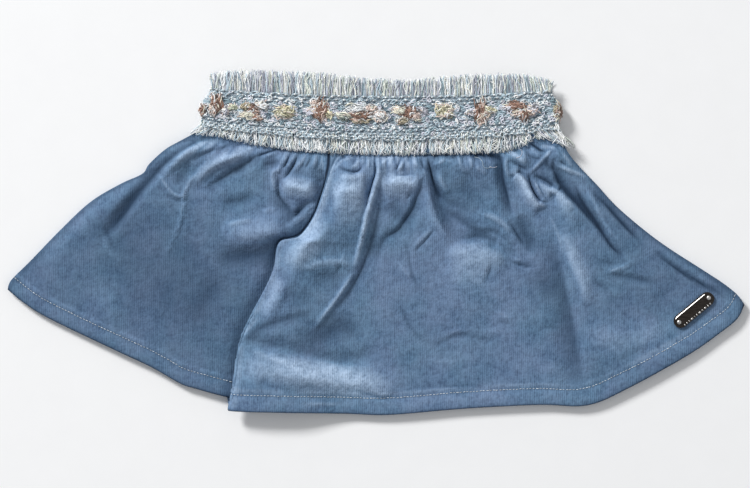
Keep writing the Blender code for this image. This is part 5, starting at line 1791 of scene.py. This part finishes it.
class SKIRT_OT_stage(SkirtOperator, bpy.types.Operator):
    """Pale floor, soft lights and a camera straight above"""

    bl_idname = "skirt.stage"
    bl_label = "Stage"

    def execute(self, context):
        scene = context.scene
        bm = bmesh.new()
        bmesh.ops.create_grid(bm, x_segments=1, y_segments=1, size=FLOOR_REACH)
        bmesh.ops.translate(bm, vec=(0.0, 0.0, FLOOR_LEVEL), verts=bm.verts[:])
        floor = mesh_object(bm, "floor", floor_material("paper"), smooth=False)

        camera = bpy.data.cameras.new("camera")
        camera.sensor_width = SENSOR_WIDTH
        camera.lens = SENSOR_WIDTH * (CAMERA_PLACE[2] - SHOWN_LEVEL) / SHOWN_WIDTH
        holder = bpy.data.objects.new("camera", camera)
        holder.location = CAMERA_PLACE
        scene.collection.objects.link(holder)
        scene.camera = holder

        for light in LIGHTS:
            add_light(*light)
        world = bpy.data.worlds.new("studio")
        world.use_nodes = True
        background = world.node_tree.nodes["Background"]
        background.inputs["Color"].default_value = SKY_COLOUR
        background.inputs["Strength"].default_value = SKY_STRENGTH
        scene.world = world
        scene.view_settings.view_transform = "Standard"
        return {"FINISHED"}


def add_light(name, place, size, power):
    """A square soft light aimed at the skirt."""
    light = bpy.data.lights.new(name, "AREA")
    light.size = size
    light.energy = power
    holder = bpy.data.objects.new(name, light)
    holder.location = place
    holder.rotation_euler = (-Vector(place)).to_track_quat("-Z", "Y").to_euler()
    bpy.context.scene.collection.objects.link(holder)


OPERATORS = (SKIRT_OT_front_panel, SKIRT_OT_back_panel, SKIRT_OT_hem_stitches, SKIRT_OT_braid,
             SKIRT_OT_chain_rows, SKIRT_OT_flowers, SKIRT_OT_fringes, SKIRT_OT_stray_threads,
             SKIRT_OT_metal_plate, SKIRT_OT_stage)


class SKIRT_PT_panel(bpy.types.Panel):
    """The skirt's sizes, colours and operators"""

    bl_idname = "SKIRT_PT_panel"
    bl_label = "Gathered cord skirt"
    bl_space_type = "VIEW_3D"
    bl_region_type = "UI"
    bl_category = "Skirt"

    def draw(self, context):
        for group in (context.scene.skirt_sizes, context.scene.skirt_colours):
            for name in group.__annotations__:
                self.layout.prop(group, name)
        for operator in OPERATORS:
            self.layout.operator(operator.bl_idname)


CLASSES = (SkirtSizes, SkirtColours, *OPERATORS, SKIRT_PT_panel)


def register():
    """Add the classes and the scene's settings."""
    for item in CLASSES:
        bpy.utils.register_class(item)
    bpy.types.Scene.skirt_sizes = bpy.props.PointerProperty(type=SkirtSizes)
    bpy.types.Scene.skirt_colours = bpy.props.PointerProperty(type=SkirtColours)


def unregister():
    """Take them away again."""
    del bpy.types.Scene.skirt_colours
    del bpy.types.Scene.skirt_sizes
    for item in reversed(CLASSES):
        bpy.utils.unregister_class(item)


def main():
    """Build the skirt and its stage."""
    register()
    bpy.ops.skirt.back_panel()
    bpy.ops.skirt.front_panel()
    bpy.ops.skirt.hem_stitches()
    bpy.ops.skirt.braid()
    bpy.ops.skirt.chain_rows()
    bpy.ops.skirt.flowers()
    bpy.ops.skirt.fringes()
    bpy.ops.skirt.stray_threads()
    bpy.ops.skirt.metal_plate()
    bpy.ops.skirt.stage()


if __name__ == "__main__":
    main()
